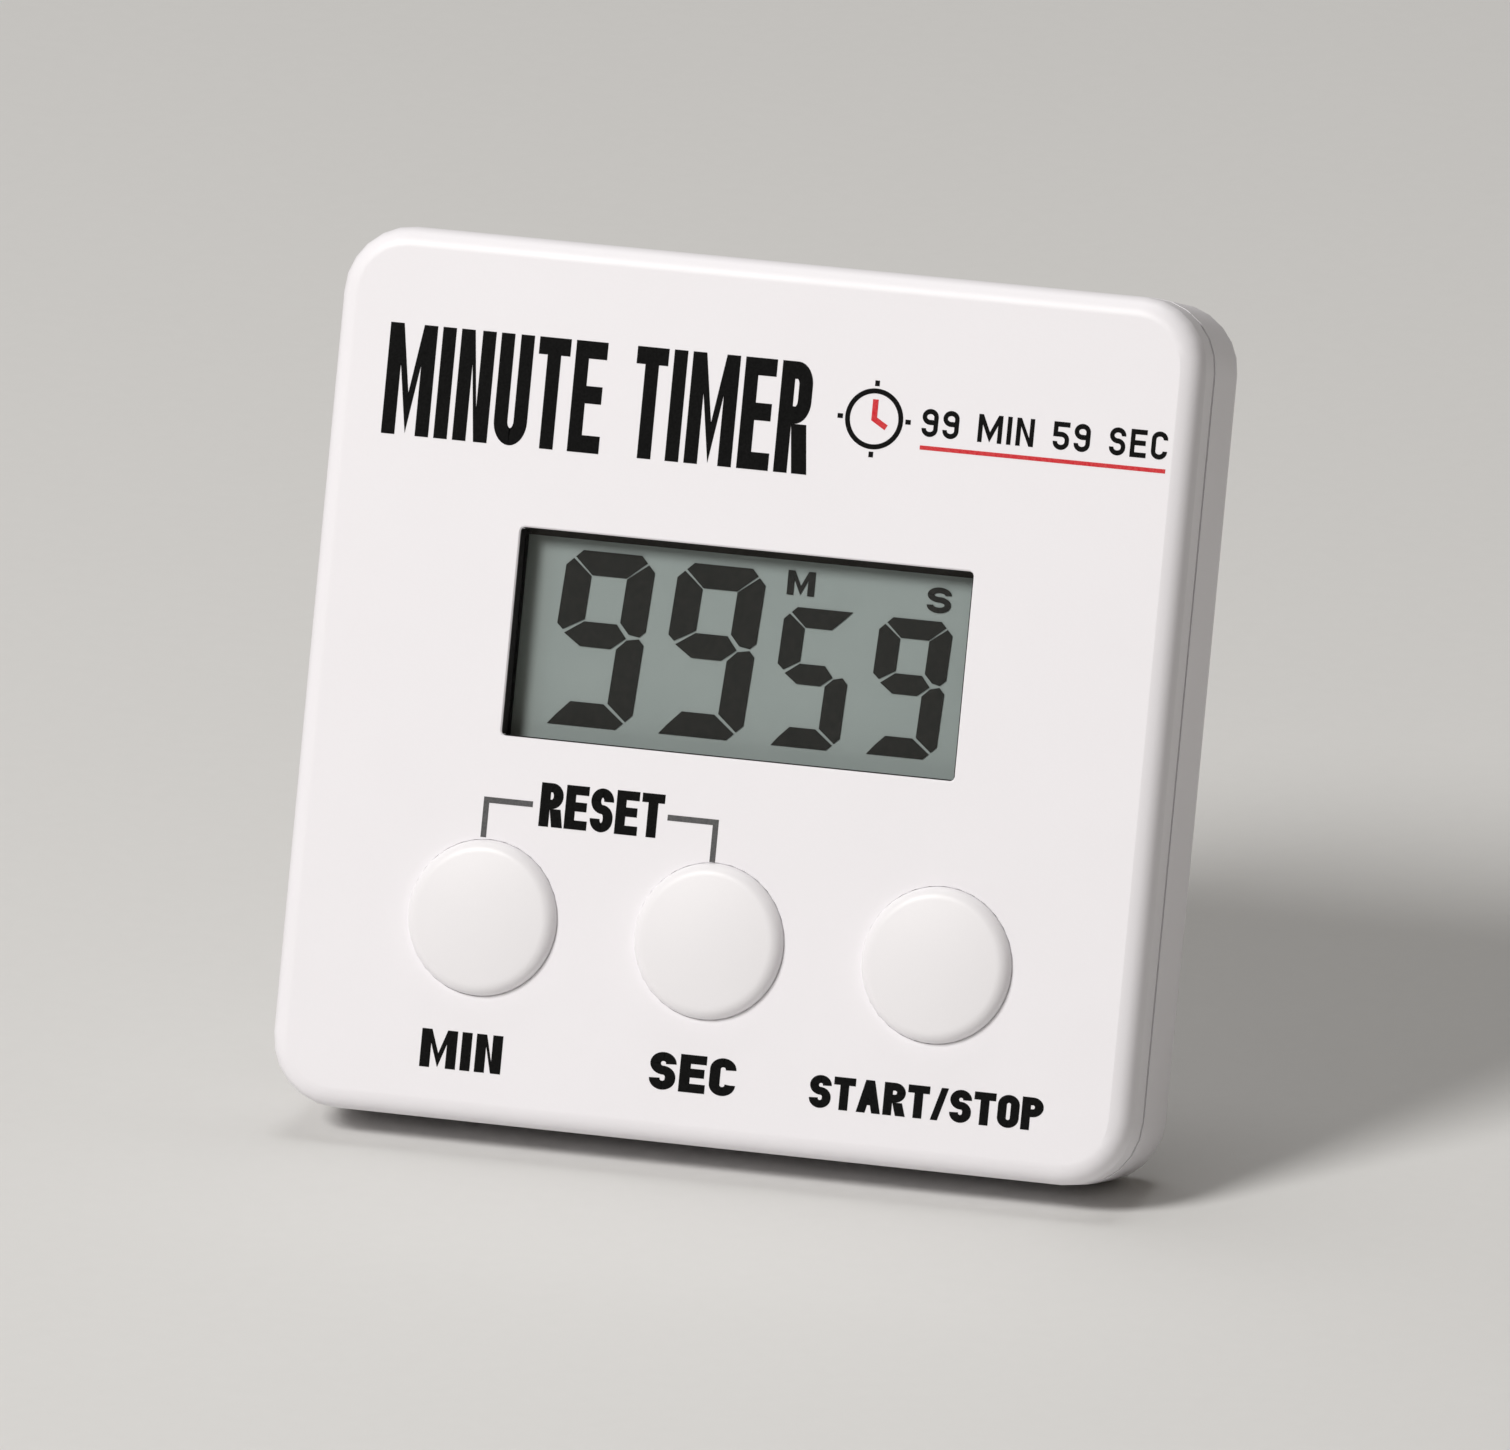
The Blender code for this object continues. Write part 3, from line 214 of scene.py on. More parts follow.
def slab(outline, front, back):
    """A flat outline on the face, carried straight back from one depth to another."""
    outline = np.asarray(outline, float)
    return skin(np.stack([on_face(outline[:, 0], outline[:, 1], depth) for depth in (front, back)]))


def ribbon(left, right, front, back, looped=False):
    """A band between two lines on the face, carried back.

    Each ring is left front, right front, right back, left back.
    """
    rings = [on_face(line[:, 0], line[:, 1], depth) for line, depth in
             ((left, front), (right, front), (right, back), (left, back))]
    return skin(np.stack(rings, axis=1), looped)


def turned(profile, across, up):
    """Depth and radius pairs swept round an axis square to the face.

    A point is (across + radius * cos, up + radius * sin, depth).
    """
    profile = np.asarray(profile, float)
    angle = np.linspace(0, 2 * np.pi, TURN, endpoint=False)
    depth, radius = profile[:, :1], profile[:, 1:]
    rings = on_face(across + radius * np.cos(angle), up + radius * np.sin(angle), depth)
    return skin(rings, capped=False)


def settle(mesh, smooth_below):
    """Merges doubles, points every face outwards and shades smooth across the flatter edges."""
    work = bmesh.new()
    work.from_mesh(mesh)
    bmesh.ops.remove_doubles(work, verts=work.verts, dist=SAME_POINT)
    bmesh.ops.dissolve_degenerate(work, dist=NEEDLE, edges=work.edges)
    bmesh.ops.recalc_face_normals(work, faces=work.faces)
    work.to_mesh(mesh)
    work.free()
    mesh.shade_smooth()
    mesh.set_sharp_from_angle(angle=np.radians(smooth_below))


def piece(name, skins, finish, body, smooth_below=SMOOTH, stands_for=()):
    """One object from several closed skins, riding on a body, with its finish; the imported solids it
    stands for are hidden.
    """
    points, faces, start = [], [], 0
    for skin_points, skin_faces in skins:
        points.append(skin_points)
        faces += [[start + k for k in face] for face in skin_faces]
        start += len(skin_points)
    mesh = bpy.data.meshes.new(name)
    mesh.from_pydata(np.concatenate(points), [], faces)
    settle(mesh, smooth_below)
    made = bpy.data.objects.new(name, mesh)
    bpy.context.scene.collection.objects.link(made)
    mesh.materials.append(finish)
    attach(made, body)
    if stands_for:
        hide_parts(*stands_for)


def dressed(node, finish, edge=0.0):
    """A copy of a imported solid: its flats made whole, rounds shaded smooth and sharp edges broken."""
    source = frame["nodes"][node]
    mesh = source.data.copy()
    mesh.name = node + "_finished"
    mesh.materials.clear()
    mesh.materials.append(finish)
    work = bmesh.new()
    work.from_mesh(mesh)
    bmesh.ops.remove_doubles(work, verts=work.verts, dist=SAME_POINT)
    bmesh.ops.dissolve_limit(work, angle_limit=np.radians(ONE_FLAT), verts=work.verts, edges=work.edges)
    work.to_mesh(mesh)
    work.free()
    mesh.shade_smooth()
    mesh.set_sharp_from_angle(angle=np.radians(SMOOTH))
    made = bpy.data.objects.new(node + "_finished", mesh)
    bpy.context.scene.collection.objects.link(made)
    if edge:
        broken = made.modifiers.new("broken edges", "BEVEL")
        broken.width = edge * MM
        broken.segments = 2
        broken.limit_method = "ANGLE"
        broken.angle_limit = np.radians(SMOOTH + BREAK_ABOVE)
    shading = made.modifiers.new("flat flats", "WEIGHTED_NORMAL")
    shading.keep_sharp = True
    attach(made, source["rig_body"])
    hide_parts(node)
    return made


# ---------------------------------------------------------------- finishes

class Wire:
    """One value in a shader tree, and the sums that a finish is written with."""

    def __init__(self, finish, socket):
        self.finish, self.socket = finish, socket

    def __add__(self, other):
        return self.finish.math("ADD", self, other)

    def __sub__(self, other):
        return self.finish.math("SUBTRACT", self, other)

    def __rsub__(self, other):
        return self.finish.math("SUBTRACT", other, self)

    def __mul__(self, other):
        return self.finish.math("MULTIPLY", self, other)

    __radd__, __rmul__ = __add__, __mul__


class Finish:
    """A material in the making. Patterns are laid out in metres on the object's own coordinates."""

    def __init__(self, name):
        self.material = bpy.data.materials.new(name)
        self.material.use_nodes = True
        self.tree = self.material.node_tree
        self.tree.nodes.clear()
        self.place = self.node("ShaderNodeTexCoord", output="Object")

    def node(self, kind, settings=None, inputs=None, output=0):
        """Any node: its settings first, then values or wires for its inputs; gives back one output."""
        made = self.tree.nodes.new(kind)
        for key, value in (settings or {}).items():
            setattr(made, key, value)
        for key, value in (inputs or {}).items():
            if isinstance(value, Wire):
                self.tree.links.new(value.socket, made.inputs[key])
            else:
                made.inputs[key].default_value = value
        return Wire(self, made.outputs[output]) if len(made.outputs) else made

    def math(self, operation, first, second):
        return self.node("ShaderNodeMath", {"operation": operation}, {0: first, 1: second})

    def blend(self, share, first, second):
        """A colour that runs from the first to the second as share goes from 0 to 1."""
        colours = {0: share, 6: rgba(first), 7: rgba(second)}
        return self.node("ShaderNodeMix", {"data_type": "RGBA"}, colours, 2)

    def noise(self, size, detail=2.0, stretch=None):
        """Soft noise whose lumps are about size millimetres across, longer where stretch is below 1."""
        place = self.place
        if stretch:
            place = self.node("ShaderNodeMapping", None, {"Vector": place, "Scale": stretch})
        lumps = {"Vector": place, "Scale": 1 / (size * MM), "Detail": detail}
        return self.node("ShaderNodeTexNoise", None, lumps)

    def step(self, value, low, high):
        """0 below low, 1 above high, and an even ramp between."""
        return self.node("ShaderNodeMapRange", None, {"Value": value, "From Min": low, "From Max": high})

    def bump(self, height, depth):
        """A relief of a height from 0 to 1, depth millimetres deep."""
        relief = {"Height": height, "Strength": 1.0, "Distance": depth * MM}
        return self.node("ShaderNodeBump", None, relief)

    def close(self, shader):
        self.node("ShaderNodeOutputMaterial", None, {"Surface": shader})
        return self.material

    def principled(self, **inputs):
        """Ends the finish with the standard shader, whose inputs are written with underscores."""
        named = {key.replace("_", " "): value for key, value in inputs.items()}
        return self.close(self.node("ShaderNodeBsdfPrincipled", None, named))


def rgba(colour):
    return colour if isinstance(colour, Wire) else (*colour, 1.0)


def moulded(name, light, dark, roughness, grain=0.22, relief=0.004):
    """Moulded plastic: faint clouding in the pigment, spark-eroded grain and patches rubbed smooth."""
    f = Finish(name)
    cloud = f.noise(9.0, 3.0)
    pores = f.noise(grain, 2.0)
    polish = f.noise(5.0, 4.0)
    tint = f.blend(cloud * 0.7 + pores * 0.3, dark, light)
    dull = roughness + 0.10 * (polish - 0.5) + 0.06 * (pores - 0.5)
    return f.principled(Base_Color=tint, Roughness=dull, Normal=f.bump(pores, relief), IOR=1.52)


def printed(name, colour, thin, roughness=0.6):
    """Pad-printed ink: dense, with a little of the plastic showing through where the film is thin."""
    f = Finish(name)
    film = f.step(f.noise(0.16, 3.0), 0.30, 0.72)
    return f.principled(Base_Color=f.blend(film, thin, colour), Roughness=roughness + 0.08 * (film - 0.5),
                        Normal=f.bump(film, 0.002), Specular_IOR_Level=0.06)


def metal(name, colour, stain, roughness, stretch=(1.0, 1.0, 1.0)):
    """Drawn or plated metal: fine marks along one way, and a thin tarnish that dulls it in clouds."""
    f = Finish(name)
    marks = f.noise(0.6, 4.0, stretch)
    tarnish = f.step(f.noise(3.0, 4.0), 0.35, 0.75)
    dull = roughness + 0.12 * (marks - 0.5) + 0.10 * tarnish
    return f.principled(Base_Color=f.blend(tarnish * 0.6, colour, stain), Metallic=1.0, Roughness=dull,
                        Normal=f.bump(marks, 0.003))


def rubber(name, colour, bloom, roughness=0.7):
    """Silicone or elastomer: matt, with a dusty bloom in its hollows."""
    f = Finish(name)
    dust = f.noise(1.4, 5.0)
    return f.principled(Base_Color=f.blend(dust, colour, bloom), Roughness=roughness + 0.15 * (dust - 0.5),
                        Normal=f.bump(f.noise(0.2), 0.004))


def clear(name, glint, tint, head_on, smear):
    """Clear sheet: seen straight through, but for a share of gloss and faint smears on it.

    The share is head_on + (1 - head_on) * (1 - cos)^5 on both its faces, so it stays clear edge on.
    """
    f = Finish(name)
    through = f.node("ShaderNodeBsdfTransparent", None, {"Color": rgba(tint)})
    gloss = f.node("ShaderNodeBsdfGlossy", None, {"Color": (1.0, 1.0, 1.0, 1.0), "Roughness": glint})
    turned_away = f.node("ShaderNodeLayerWeight", None, {"Blend": 0.5}, "Facing")
    edge_on = head_on + (1 - head_on) * f.math("POWER", turned_away, 5.0)
    share = edge_on + smear * f.step(f.noise(2.6, 4.0), 0.45, 0.85)
    return f.close(f.node("ShaderNodeMixShader", None, {0: share, 1: through, 2: gloss}))


def liquid_crystal_field(name):
    """The grey-green ground of the display: a pearly scatter, with painted shade towards its left end under
    the window's left wall.
    """
    f = Finish(name)
    pearl = f.noise(0.12, 3.0)
    cloud = f.noise(6.0, 2.0)
    across = f.node("ShaderNodeSeparateXYZ", None, {0: f.place})
    # painted shade: the ground is darker towards its left end, where the window's left wall shadows it
    shade = f.step(across, FIELD_PAINTED_SHADE[0] * MM, FIELD_PAINTED_SHADE[1] * MM)
    ground = f.blend(pearl * 0.35 + cloud * 0.65, (0.28, 0.33, 0.33), (0.33, 0.375, 0.373))
    return f.principled(Base_Color=f.blend(shade, (0.25, 0.28, 0.27), ground),
                        Roughness=0.5 + 0.1 * (pearl - 0.5), Normal=f.bump(pearl, 0.003))


def figures(name):
    """A driven liquid crystal segment: dark, warm and uneven, with the ground showing faintly through."""
    f = Finish(name)
    mottle = f.noise(0.45, 3.0)
    return f.principled(Base_Color=f.blend(mottle, (0.008, 0.011, 0.011), (0.026, 0.025, 0.024)),
                        Roughness=0.6 + 0.1 * (mottle - 0.5), Specular_IOR_Level=0.1)


def striped(name):
    """Alternate layers of carbon-filled and plain silicone, half a millimetre apart."""
    f = Finish(name)
    layers = f.node("ShaderNodeTexWave", {"bands_direction": "X"},
                    {"Vector": f.place, "Scale": np.pi / 10 / (0.5 * MM), "Distortion": 0.0}, "Fac")
    plain = f.step(layers, 0.4, 0.6)
    return f.principled(Base_Color=f.blend(plain, (0.02, 0.02, 0.02), (0.62, 0.47, 0.45)),
                        Roughness=0.6 + 0.1 * plain)


def circuit(name):
    """Solder mask over copper: tracks as a staggered grid of lines, raised under a glossy green coat."""
    f = Finish(name)
    grid = {"Vector": f.place, "Scale": 300.0, "Mortar Size": 0.05, "Mortar Smooth": 0.1}
    tracks = f.node("ShaderNodeTexBrick", {"offset": 0.5}, grid, "Fac")
    weave = f.noise(0.5, 2.0)
    mask = f.blend(tracks, (0.010, 0.085, 0.030), (0.035, 0.20, 0.07))
    return f.principled(Base_Color=f.blend(weave * 0.3, mask, (0.02, 0.05, 0.03)),
                        Roughness=0.3 + 0.15 * weave, Normal=f.bump(tracks, 0.02))


def terminal(name, body, ends):
    """A chip part: its body colour in the middle, tinned at both ends by a coarse banded pattern."""
    f = Finish(name)
    bands = f.step(f.noise(1.0, 1.0), 0.52, 0.58)
    return f.principled(Base_Color=f.blend(bands, body, ends), Metallic=bands * 0.6,
                        Roughness=0.5 - 0.2 * bands, Normal=f.bump(bands, 0.01))


WHITE = moulded("warm white moulding", (0.885, 0.868, 0.902), (0.858, 0.838, 0.870), 0.46)
KEY = moulded("ivory key cap", (0.866, 0.850, 0.874), (0.841, 0.825, 0.848), 0.42, grain=0.3,
              relief=0.002)
INK = printed("black printing", (0.002, 0.002, 0.002), (0.006, 0.006, 0.006))
GREY_INK = printed("grey printing", (0.085, 0.085, 0.09), (0.13, 0.13, 0.13))
RED_INK = printed("red printing", (0.62, 0.02, 0.035), (0.66, 0.08, 0.08))
# also used for the lining and gasket strips round the window, which stand in for painted shade there
FOAM = rubber("black gasket foam", (0.004, 0.0035, 0.0035), (0.010, 0.008, 0.008), 0.9)
LENS = clear("acrylic window", 0.02, (0.985, 0.99, 0.985), 0.04, 0.012)
GLASS = clear("display glass", 0.05, (0.98, 0.99, 0.985), 0.01, 0.004)
FIELD = liquid_crystal_field("liquid crystal ground")
FIGURE = figures("liquid crystal figures")
FOIL = metal("silvered reflector", (0.72, 0.73, 0.72), (0.55, 0.55, 0.53), 0.45)
ZEBRA = striped("layered elastomer")
BOARD = circuit("green board")
EPOXY = moulded("black epoxy", (0.020, 0.020, 0.022), (0.012, 0.012, 0.013), 0.35, grain=0.5,
                relief=0.003)
TAN = terminal("tan chip ceramic", (0.42, 0.29, 0.16), (0.68, 0.67, 0.64))
CHIP = terminal("black chip film", (0.02, 0.02, 0.025), (0.68, 0.67, 0.64))
SILICONE = rubber("grey silicone", (0.36, 0.37, 0.38), (0.45, 0.46, 0.46), 0.62)
CARBON = rubber("carbon pill", (0.012, 0.012, 0.013), (0.03, 0.03, 0.03), 0.5)
BRASS = metal("rolled brass", (0.78, 0.56, 0.24), (0.50, 0.34, 0.16), 0.28, (1.0, 0.2, 1.0))
BRONZE = metal("sprung bronze", (0.80, 0.58, 0.36), (0.55, 0.38, 0.24), 0.30, (0.2, 1.0, 1.0))
CERAMIC = moulded("fired ceramic", (0.70, 0.68, 0.62), (0.60, 0.58, 0.53), 0.55, grain=0.15,
                  relief=0.003)
STEEL = metal("zinc-plated steel", (0.72, 0.72, 0.70), (0.48, 0.47, 0.44), 0.30)
CAN = metal("polished steel can", (0.78, 0.78, 0.77), (0.60, 0.60, 0.58), 0.20, (1.0, 0.15, 1.0))
NICKEL = metal("nickel-plated magnet", (0.66, 0.64, 0.60), (0.50, 0.48, 0.44), 0.24)
FERRITE = moulded("wound ferrite", (0.055, 0.050, 0.048), (0.03, 0.028, 0.028), 0.6, grain=0.35,
                  relief=0.01)
RED_WIRE = rubber("red wire sleeve", (0.55, 0.02, 0.02), (0.60, 0.06, 0.05), 0.45)
BLACK_WIRE = rubber("black wire sleeve", (0.015, 0.015, 0.015), (0.03, 0.03, 0.03), 0.45)


# ---------------------------------------------------------------- lettering

def route(start, corners, end):
    """Straight runs joined by quarter ellipses: corner - a * in * (1 - sin) + b * out * (1 - cos)."""
    stops = [np.array(start, float)] + [np.array(c[:2], float) for c in corners] + [np.array(end, float)]
    angle = np.linspace(0, np.pi / 2, ARC)[:, None]
    line = [stops[0][None]]
    for before, here, after, (_, _, wide, tall) in zip(stops, stops[1:], stops[2:], corners):
        into = (here - before) / np.linalg.norm(here - before)
        out = (after - here) / np.linalg.norm(after - here)
        along, across = (wide, tall) if abs(into[0]) > abs(into[1]) else (tall, wide)
        line.append(here - along * into * (1 - np.sin(angle)) + across * out * (1 - np.cos(angle)))
    line.append(stops[-1][None])
    return np.concatenate(line)


def drawn(line, stem, bar, looped=False):
    """The two edges of a pen stroke: the line +/- its normal, half a stem wide and half a bar tall."""
    if looped:
        ahead = np.roll(line, -1, axis=0) - np.roll(line, 1, axis=0)
    else:
        ahead = np.gradient(line, axis=0)
    ahead /= np.linalg.norm(ahead, axis=1)[:, None]
    offset = np.stack((-ahead[:, 1] * stem / 2, ahead[:, 0] * bar / 2), axis=1)
    return line + offset, line - offset


def rectangle(left, low, right, high):
    """The four corners, anticlockwise from the lower left."""
    return np.array(((left, low), (right, low), (right, high), (left, high)), float)


def straight_limbs(sign, w, h, stem, bar):
    """Outlines of the limbs of one sign that are cut straight, w wide and h tall."""
    waist = h * WAIST
    upright = rectangle(0, 0, stem, h)
    far_upright = rectangle(w - stem, 0, w, h)
    fall = h / max(w / 2 - stem / 2, bar)
    foot, slope, low = V_FOOT * h, V_FALL * h, CROSSBAR * h
    hip = max(stem, w - R_HIP * stem)
    slash = stem * SLASH_STEM
    return {
        "I": [upright],
        "M": [upright, far_upright,
              ((stem, h), (stem, h - slope), (w / 2, foot), (w / 2, foot + slope)),
              ((w - stem, h), (w / 2, foot + slope), (w / 2, foot), (w - stem, h - slope))],
        "N": [upright, far_upright,
              ((stem, h), (stem, h - N_FALL * h), (w - stem, 0), (w - stem, N_FALL * h))],
        "T": [rectangle(0, h - bar, w, h), rectangle((w - stem) / 2, 0, (w + stem) / 2, h - bar)],
        "E": [upright, rectangle(stem, h - bar, w, h),
              rectangle(stem, waist - bar / 2, w * E_ARM, waist + bar / 2), rectangle(stem, 0, w, bar)],
        "R": [upright, ((hip, waist - bar / 2), (w - stem, 0), (w + stem * R_KICK, 0),
                        (hip + stem * (1 + R_KICK), waist - bar / 2))],
        "P": [upright],
        "A": [((0, 0), (stem, 0), (w / 2, (w / 2 - stem) * fall), (w / 2, h), (w / 2 - stem / 2, h)),
              ((w, 0), (w / 2 + stem / 2, h), (w / 2, h), (w / 2, (w / 2 - stem) * fall), (w - stem, 0)),
              ((stem + low / fall, low), (w - stem - low / fall, low),
               (w - stem - (low + bar) / fall, low + bar), (stem + (low + bar) / fall, low + bar))],
        "5": [rectangle(stem, h - bar, w, h), rectangle(0, waist - bar * FIVE_NECK, stem, h)],
        "/": [((0, 0), (slash, 0), (w, h), (w - slash, h))],
    }.get(sign, [])


def curved_limbs(sign, w, h, stem, bar):
    """Pen lines of the limbs of one sign that are drawn round, each with whether it closes on itself."""
    left, right, low, high, waist = stem / 2, w - stem / 2, bar / 2, h - bar / 2, h * WAIST
    bend = ((right - left) * ROUND_WIDE, min((right - left) * ROUND_TALL, (high - waist) * 0.5))
    top_left, top_right = (left, high, *bend), (right, high, *bend)
    low_left, low_right = (left, low, *bend), (right, low, *bend)
    hook_low, hook_high = HOOKS[0] * h, HOOKS[1] * h
    bowl = route((stem, high), [top_right, (right, waist, *bend)], (stem, waist))
    five = waist + bar * FIVE_BOWL
    return {
        "U": [(route((left, h), [low_left, low_right], (right, h)), False)],
        "R": [(bowl, False)],
        "P": [(bowl, False)],
        "S": [(route((right, hook_high), [top_right, top_left, (left, waist, *bend), (right, waist, *bend),
                                          low_right, low_left], (left, hook_low)), False)],
        "C": [(route((right, hook_high), [top_right, top_left, low_left, low_right],
                     (right, hook_low)), False)],
        "O": [(route((left, h / 2), [low_left, low_right, top_right, top_left], (left, h / 2))[:-1], True)],
        "9": [(route((right - left, waist), [(left, waist, *bend), top_left, top_right, low_right,
                                             low_left], (left, hook_low)), False)],
        "5": [(route((stem, five), [(right, five, *bend), low_right, low_left], (left, hook_low)), False)],
    }.get(sign, [])


def text(words, box, stem, bar, gap, depths=INK_DEPTHS):
    """Words fitted to a box: the signs' relative widths are scaled so that the line fills it."""
    left, low, right, high = box
    shares = [0.0 if sign == "I" else SIGN_WIDTH.get(sign, 1.0) for sign in words]
    rigid = stem * words.count("I") + gap * (len(words) - 1)
    unit = (right - left - rigid) / sum(shares)
    skins, pen = [], left
    for sign, share in zip(words, shares):
        width = share * unit or stem
        size = (sign, width, high - low, stem, bar)
        shift = np.array((pen, low))
        skins += [slab(np.array(limb, float) + shift, *depths) for limb in straight_limbs(*size)]
        for line, looped in curved_limbs(*size):
            skins.append(ribbon(*drawn(line + shift, stem, bar, looped), *depths, looped))
        pen += width + gap
    return skins


def polyline(points, width):
    """A printed rule with mitred corners.

    Each point moves by width / 2 along the sum of its sides' normals over 1 + their product.
    """
    points = np.asarray(points, float)
    sides = np.diff(points, axis=0)
    sides /= np.linalg.norm(sides, axis=1)[:, None]
    normals = np.stack((-sides[:, 1], sides[:, 0]), axis=1)
    first = np.concatenate((normals[:1], normals))
    second = np.concatenate((normals, normals[-1:]))
    mitre = (first + second) / (1 + np.sum(first * second, axis=1))[:, None] * width / 2
    return ribbon(points + mitre, points - mitre, *INK_DEPTHS)


def hoop(middle, radius, width):
    """A printed ring: radius +/- half its width, all the way round."""
    angle = np.linspace(0, 2 * np.pi, RING_STEPS, endpoint=False)
    ray = np.stack((np.cos(angle), np.sin(angle)), axis=1)
    outer, inner = (middle + ray * (radius + side * width / 2) for side in (1, -1))
    return ribbon(outer, inner, *INK_DEPTHS, True)


# ---------------------------------------------------------------- the face

def make_lettering():
    """A plain title, a dial mark with the range beside it, the keys' names and the reset bracket."""
    piece("title", text(*TITLE), INK, "case")
    inner, outer, line = DIAL_TICKS
    quarters = np.arange(4) * np.pi / 2
    rays = np.stack((np.sin(quarters), np.cos(quarters)), axis=1)
    ticks = [polyline((DIAL_MIDDLE + inner * ray, DIAL_MIDDLE + outer * ray), line) for ray in rays]
    piece("range_print", [*text(*RANGE), hoop(DIAL_MIDDLE, *DIAL_RING), *ticks], INK, "case")
    red = [polyline(DIAL_HANDS, DIAL_HAND_LINE), polyline(RULE, RULE_LINE)]
    piece("range_print_red", red, RED_INK, "case")
    labels = [limb for label in KEY_LABELS for limb in text(*label)]
    piece("key_labels", labels, INK, "case")
    bracket = [polyline(arm, BRACKET_LINE) for arm in BRACKET]
    piece("reset_bracket", bracket, GREY_INK, "case")


def figure(sign, left, low, width, height, bar, stem, lean):
    """A seven-segment figure: limbs a to g with clipped corners, moved across by lean * up / height.

    Each outline is written from the figure's own sizes, and its small plain numbers are the clips, in
    millimetres, that the mask makes where limbs meet.
    """
    middle, cut, gap = height * FIGURE_WAIST, min(width, height) * FIGURE_CLIP, FIGURE_GAP
    half, waist, end = cut / 2, bar * WAIST_HALF, FOOT_IN * width
    under_bar = height - bar
    shapes = {
        "a": ((cut, height), (half + gap, height - half + gap), (stem + gap, under_bar),
              (width - stem - gap, under_bar), (width - half - gap, height - half + gap),
              (width - cut, height)),
        "f": ((0, height - cut), (0, middle + 0.6), (0.48, middle + 0.2), (stem, middle + waist + 0.16),
              (stem, under_bar - gap), (half - gap, height - half - gap)),
        "b": ((width, height - cut), (width - half + gap, height - half - gap),
              (width - stem, under_bar - gap), (width - stem, middle + waist + 0.14),
              (width - stem * 0.62, middle + 0.26), (width - 0.42, middle + 0.14), (width, middle + 0.55)),
        "g": ((0.62, middle - 0.04), (stem * 0.98, middle - waist), (width - stem * 1.22, middle - waist),
              (width - stem * 0.70, middle - 0.04), (width - stem * 1.12, middle + waist),
              (stem, middle + waist)),
        "c": ((width, middle - 0.42), (width - 0.42, middle), (width - stem * 0.66, middle - 0.16),
              (width - stem, middle - waist + 0.02), (width - stem, bar + gap),
              (width - half + gap, half + gap), (width, cut)),
        "d": ((end, 0.0), (end + 0.55, 0.7), (end + stem * 0.75, bar), (width - stem * 1.12 - gap, bar),
              (width - half - gap, half - gap), (width - cut, 0)),
    }
    if sign == "5":
        shapes["a"] = (*shapes["a"][:4], (width - end - 0.5, height - 0.55), (width - end, height))
    outlines = [np.array(shapes[name], float) for name in LIMBS[sign]]
    return [slab(np.stack((left - FIGURES_LEFT + o[:, 0] + lean * o[:, 1] / height, low + o[:, 1]), axis=1),
                 *FIGURES_AT) for o in outlines]


def window_outline(left, low, right, high):
    """The window's outline with each side moved in towards its middle."""
    wide, tall = WINDOW_HALF
    return rectangle(left - wide, WINDOW_MIDDLE - tall + low, wide - right, WINDOW_MIDDLE + tall - high)


def make_display():
    """99 minutes 59 seconds, two tall figures and two shorter, and the black lining round the window, also
    painted shade.
    """
    shown = [limb for row in FIGURES for limb in figure(*row)]
    for sign, left, low, right, high, stem, bar in UNITS:
        box = (left - FIGURES_LEFT, low, right - FIGURES_LEFT, high)
        shown += text(sign, box, stem, bar, 0.0, FIGURES_AT)
    piece("display_figures", shown, FIGURE, "case")
    # painted shade: the lining on the window's wall and the gasket strips left showing along its top and
    # right are black pieces placed where the window's edges throw shade
    outer = window_outline(*4 * (-GASKET_OVERLAP,))
    inner = window_outline(0.0, 0.0, *GASKET_SHOWN_AS_SHADE)
    wall, lining = window_outline(*4 * (SHADE_LINING_GAP,)), window_outline(*4 * (SHADE_LINING_INNER,))
    gasket = [ribbon(outer, inner, *GASKET_DEPTHS, True), ribbon(wall, lining, *SHADE_LINING_DEPTHS, True)]
    piece("window_gasket_and_shade", gasket, FOAM, "case")


def make_keys():
    """Turned keys: a shallow crown, a rolled edge, the barrel, flange, hollow skirt and plunger.

    The crown's depth is -proud - crown * (1 - (r / rim)^2).
    """
    rim = KEY_RADIUS - KEY_EDGE
    radius = np.linspace(0, rim, CROWN_STEPS)
    crown = np.stack((-KEY_PROUD - KEY_CROWN * (1 - (radius / rim) ** 2), radius), axis=1)
    turn = np.linspace(0, np.pi / 2, EDGE_STEPS)[1:]
    edge = np.stack((KEY_EDGE * (1 - np.cos(turn)) - KEY_PROUD, rim + KEY_EDGE * np.sin(turn)), axis=1)
    flange, front, back = KEY_FLANGE
    hollow, roof = KEY_HOLLOW
    plunger, end = KEY_PLUNGER
    foot = [(front, KEY_RADIUS), (front, flange), (back, flange), (back, hollow), (roof, hollow),
            (roof, plunger), (end, plunger), (end, 0.0)]
    profile = np.concatenate((crown, edge, foot))
    for key, across in KEYS.items():
        node = "key_" + key
        piece(node + "_finished", [turned(profile, across, KEY_LINE)], KEY, key + "_key",
              KEY_SMOOTH, (node,))


def make_domes():
    """The silicone domes: dressed copies, each given a mesh of its own."""
    for key, across in KEYS.items():
        dome = dressed("dome_" + key, SILICONE)
        foot = on_face(across, KEY_LINE, DOME_FOOT)
        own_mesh(dome)


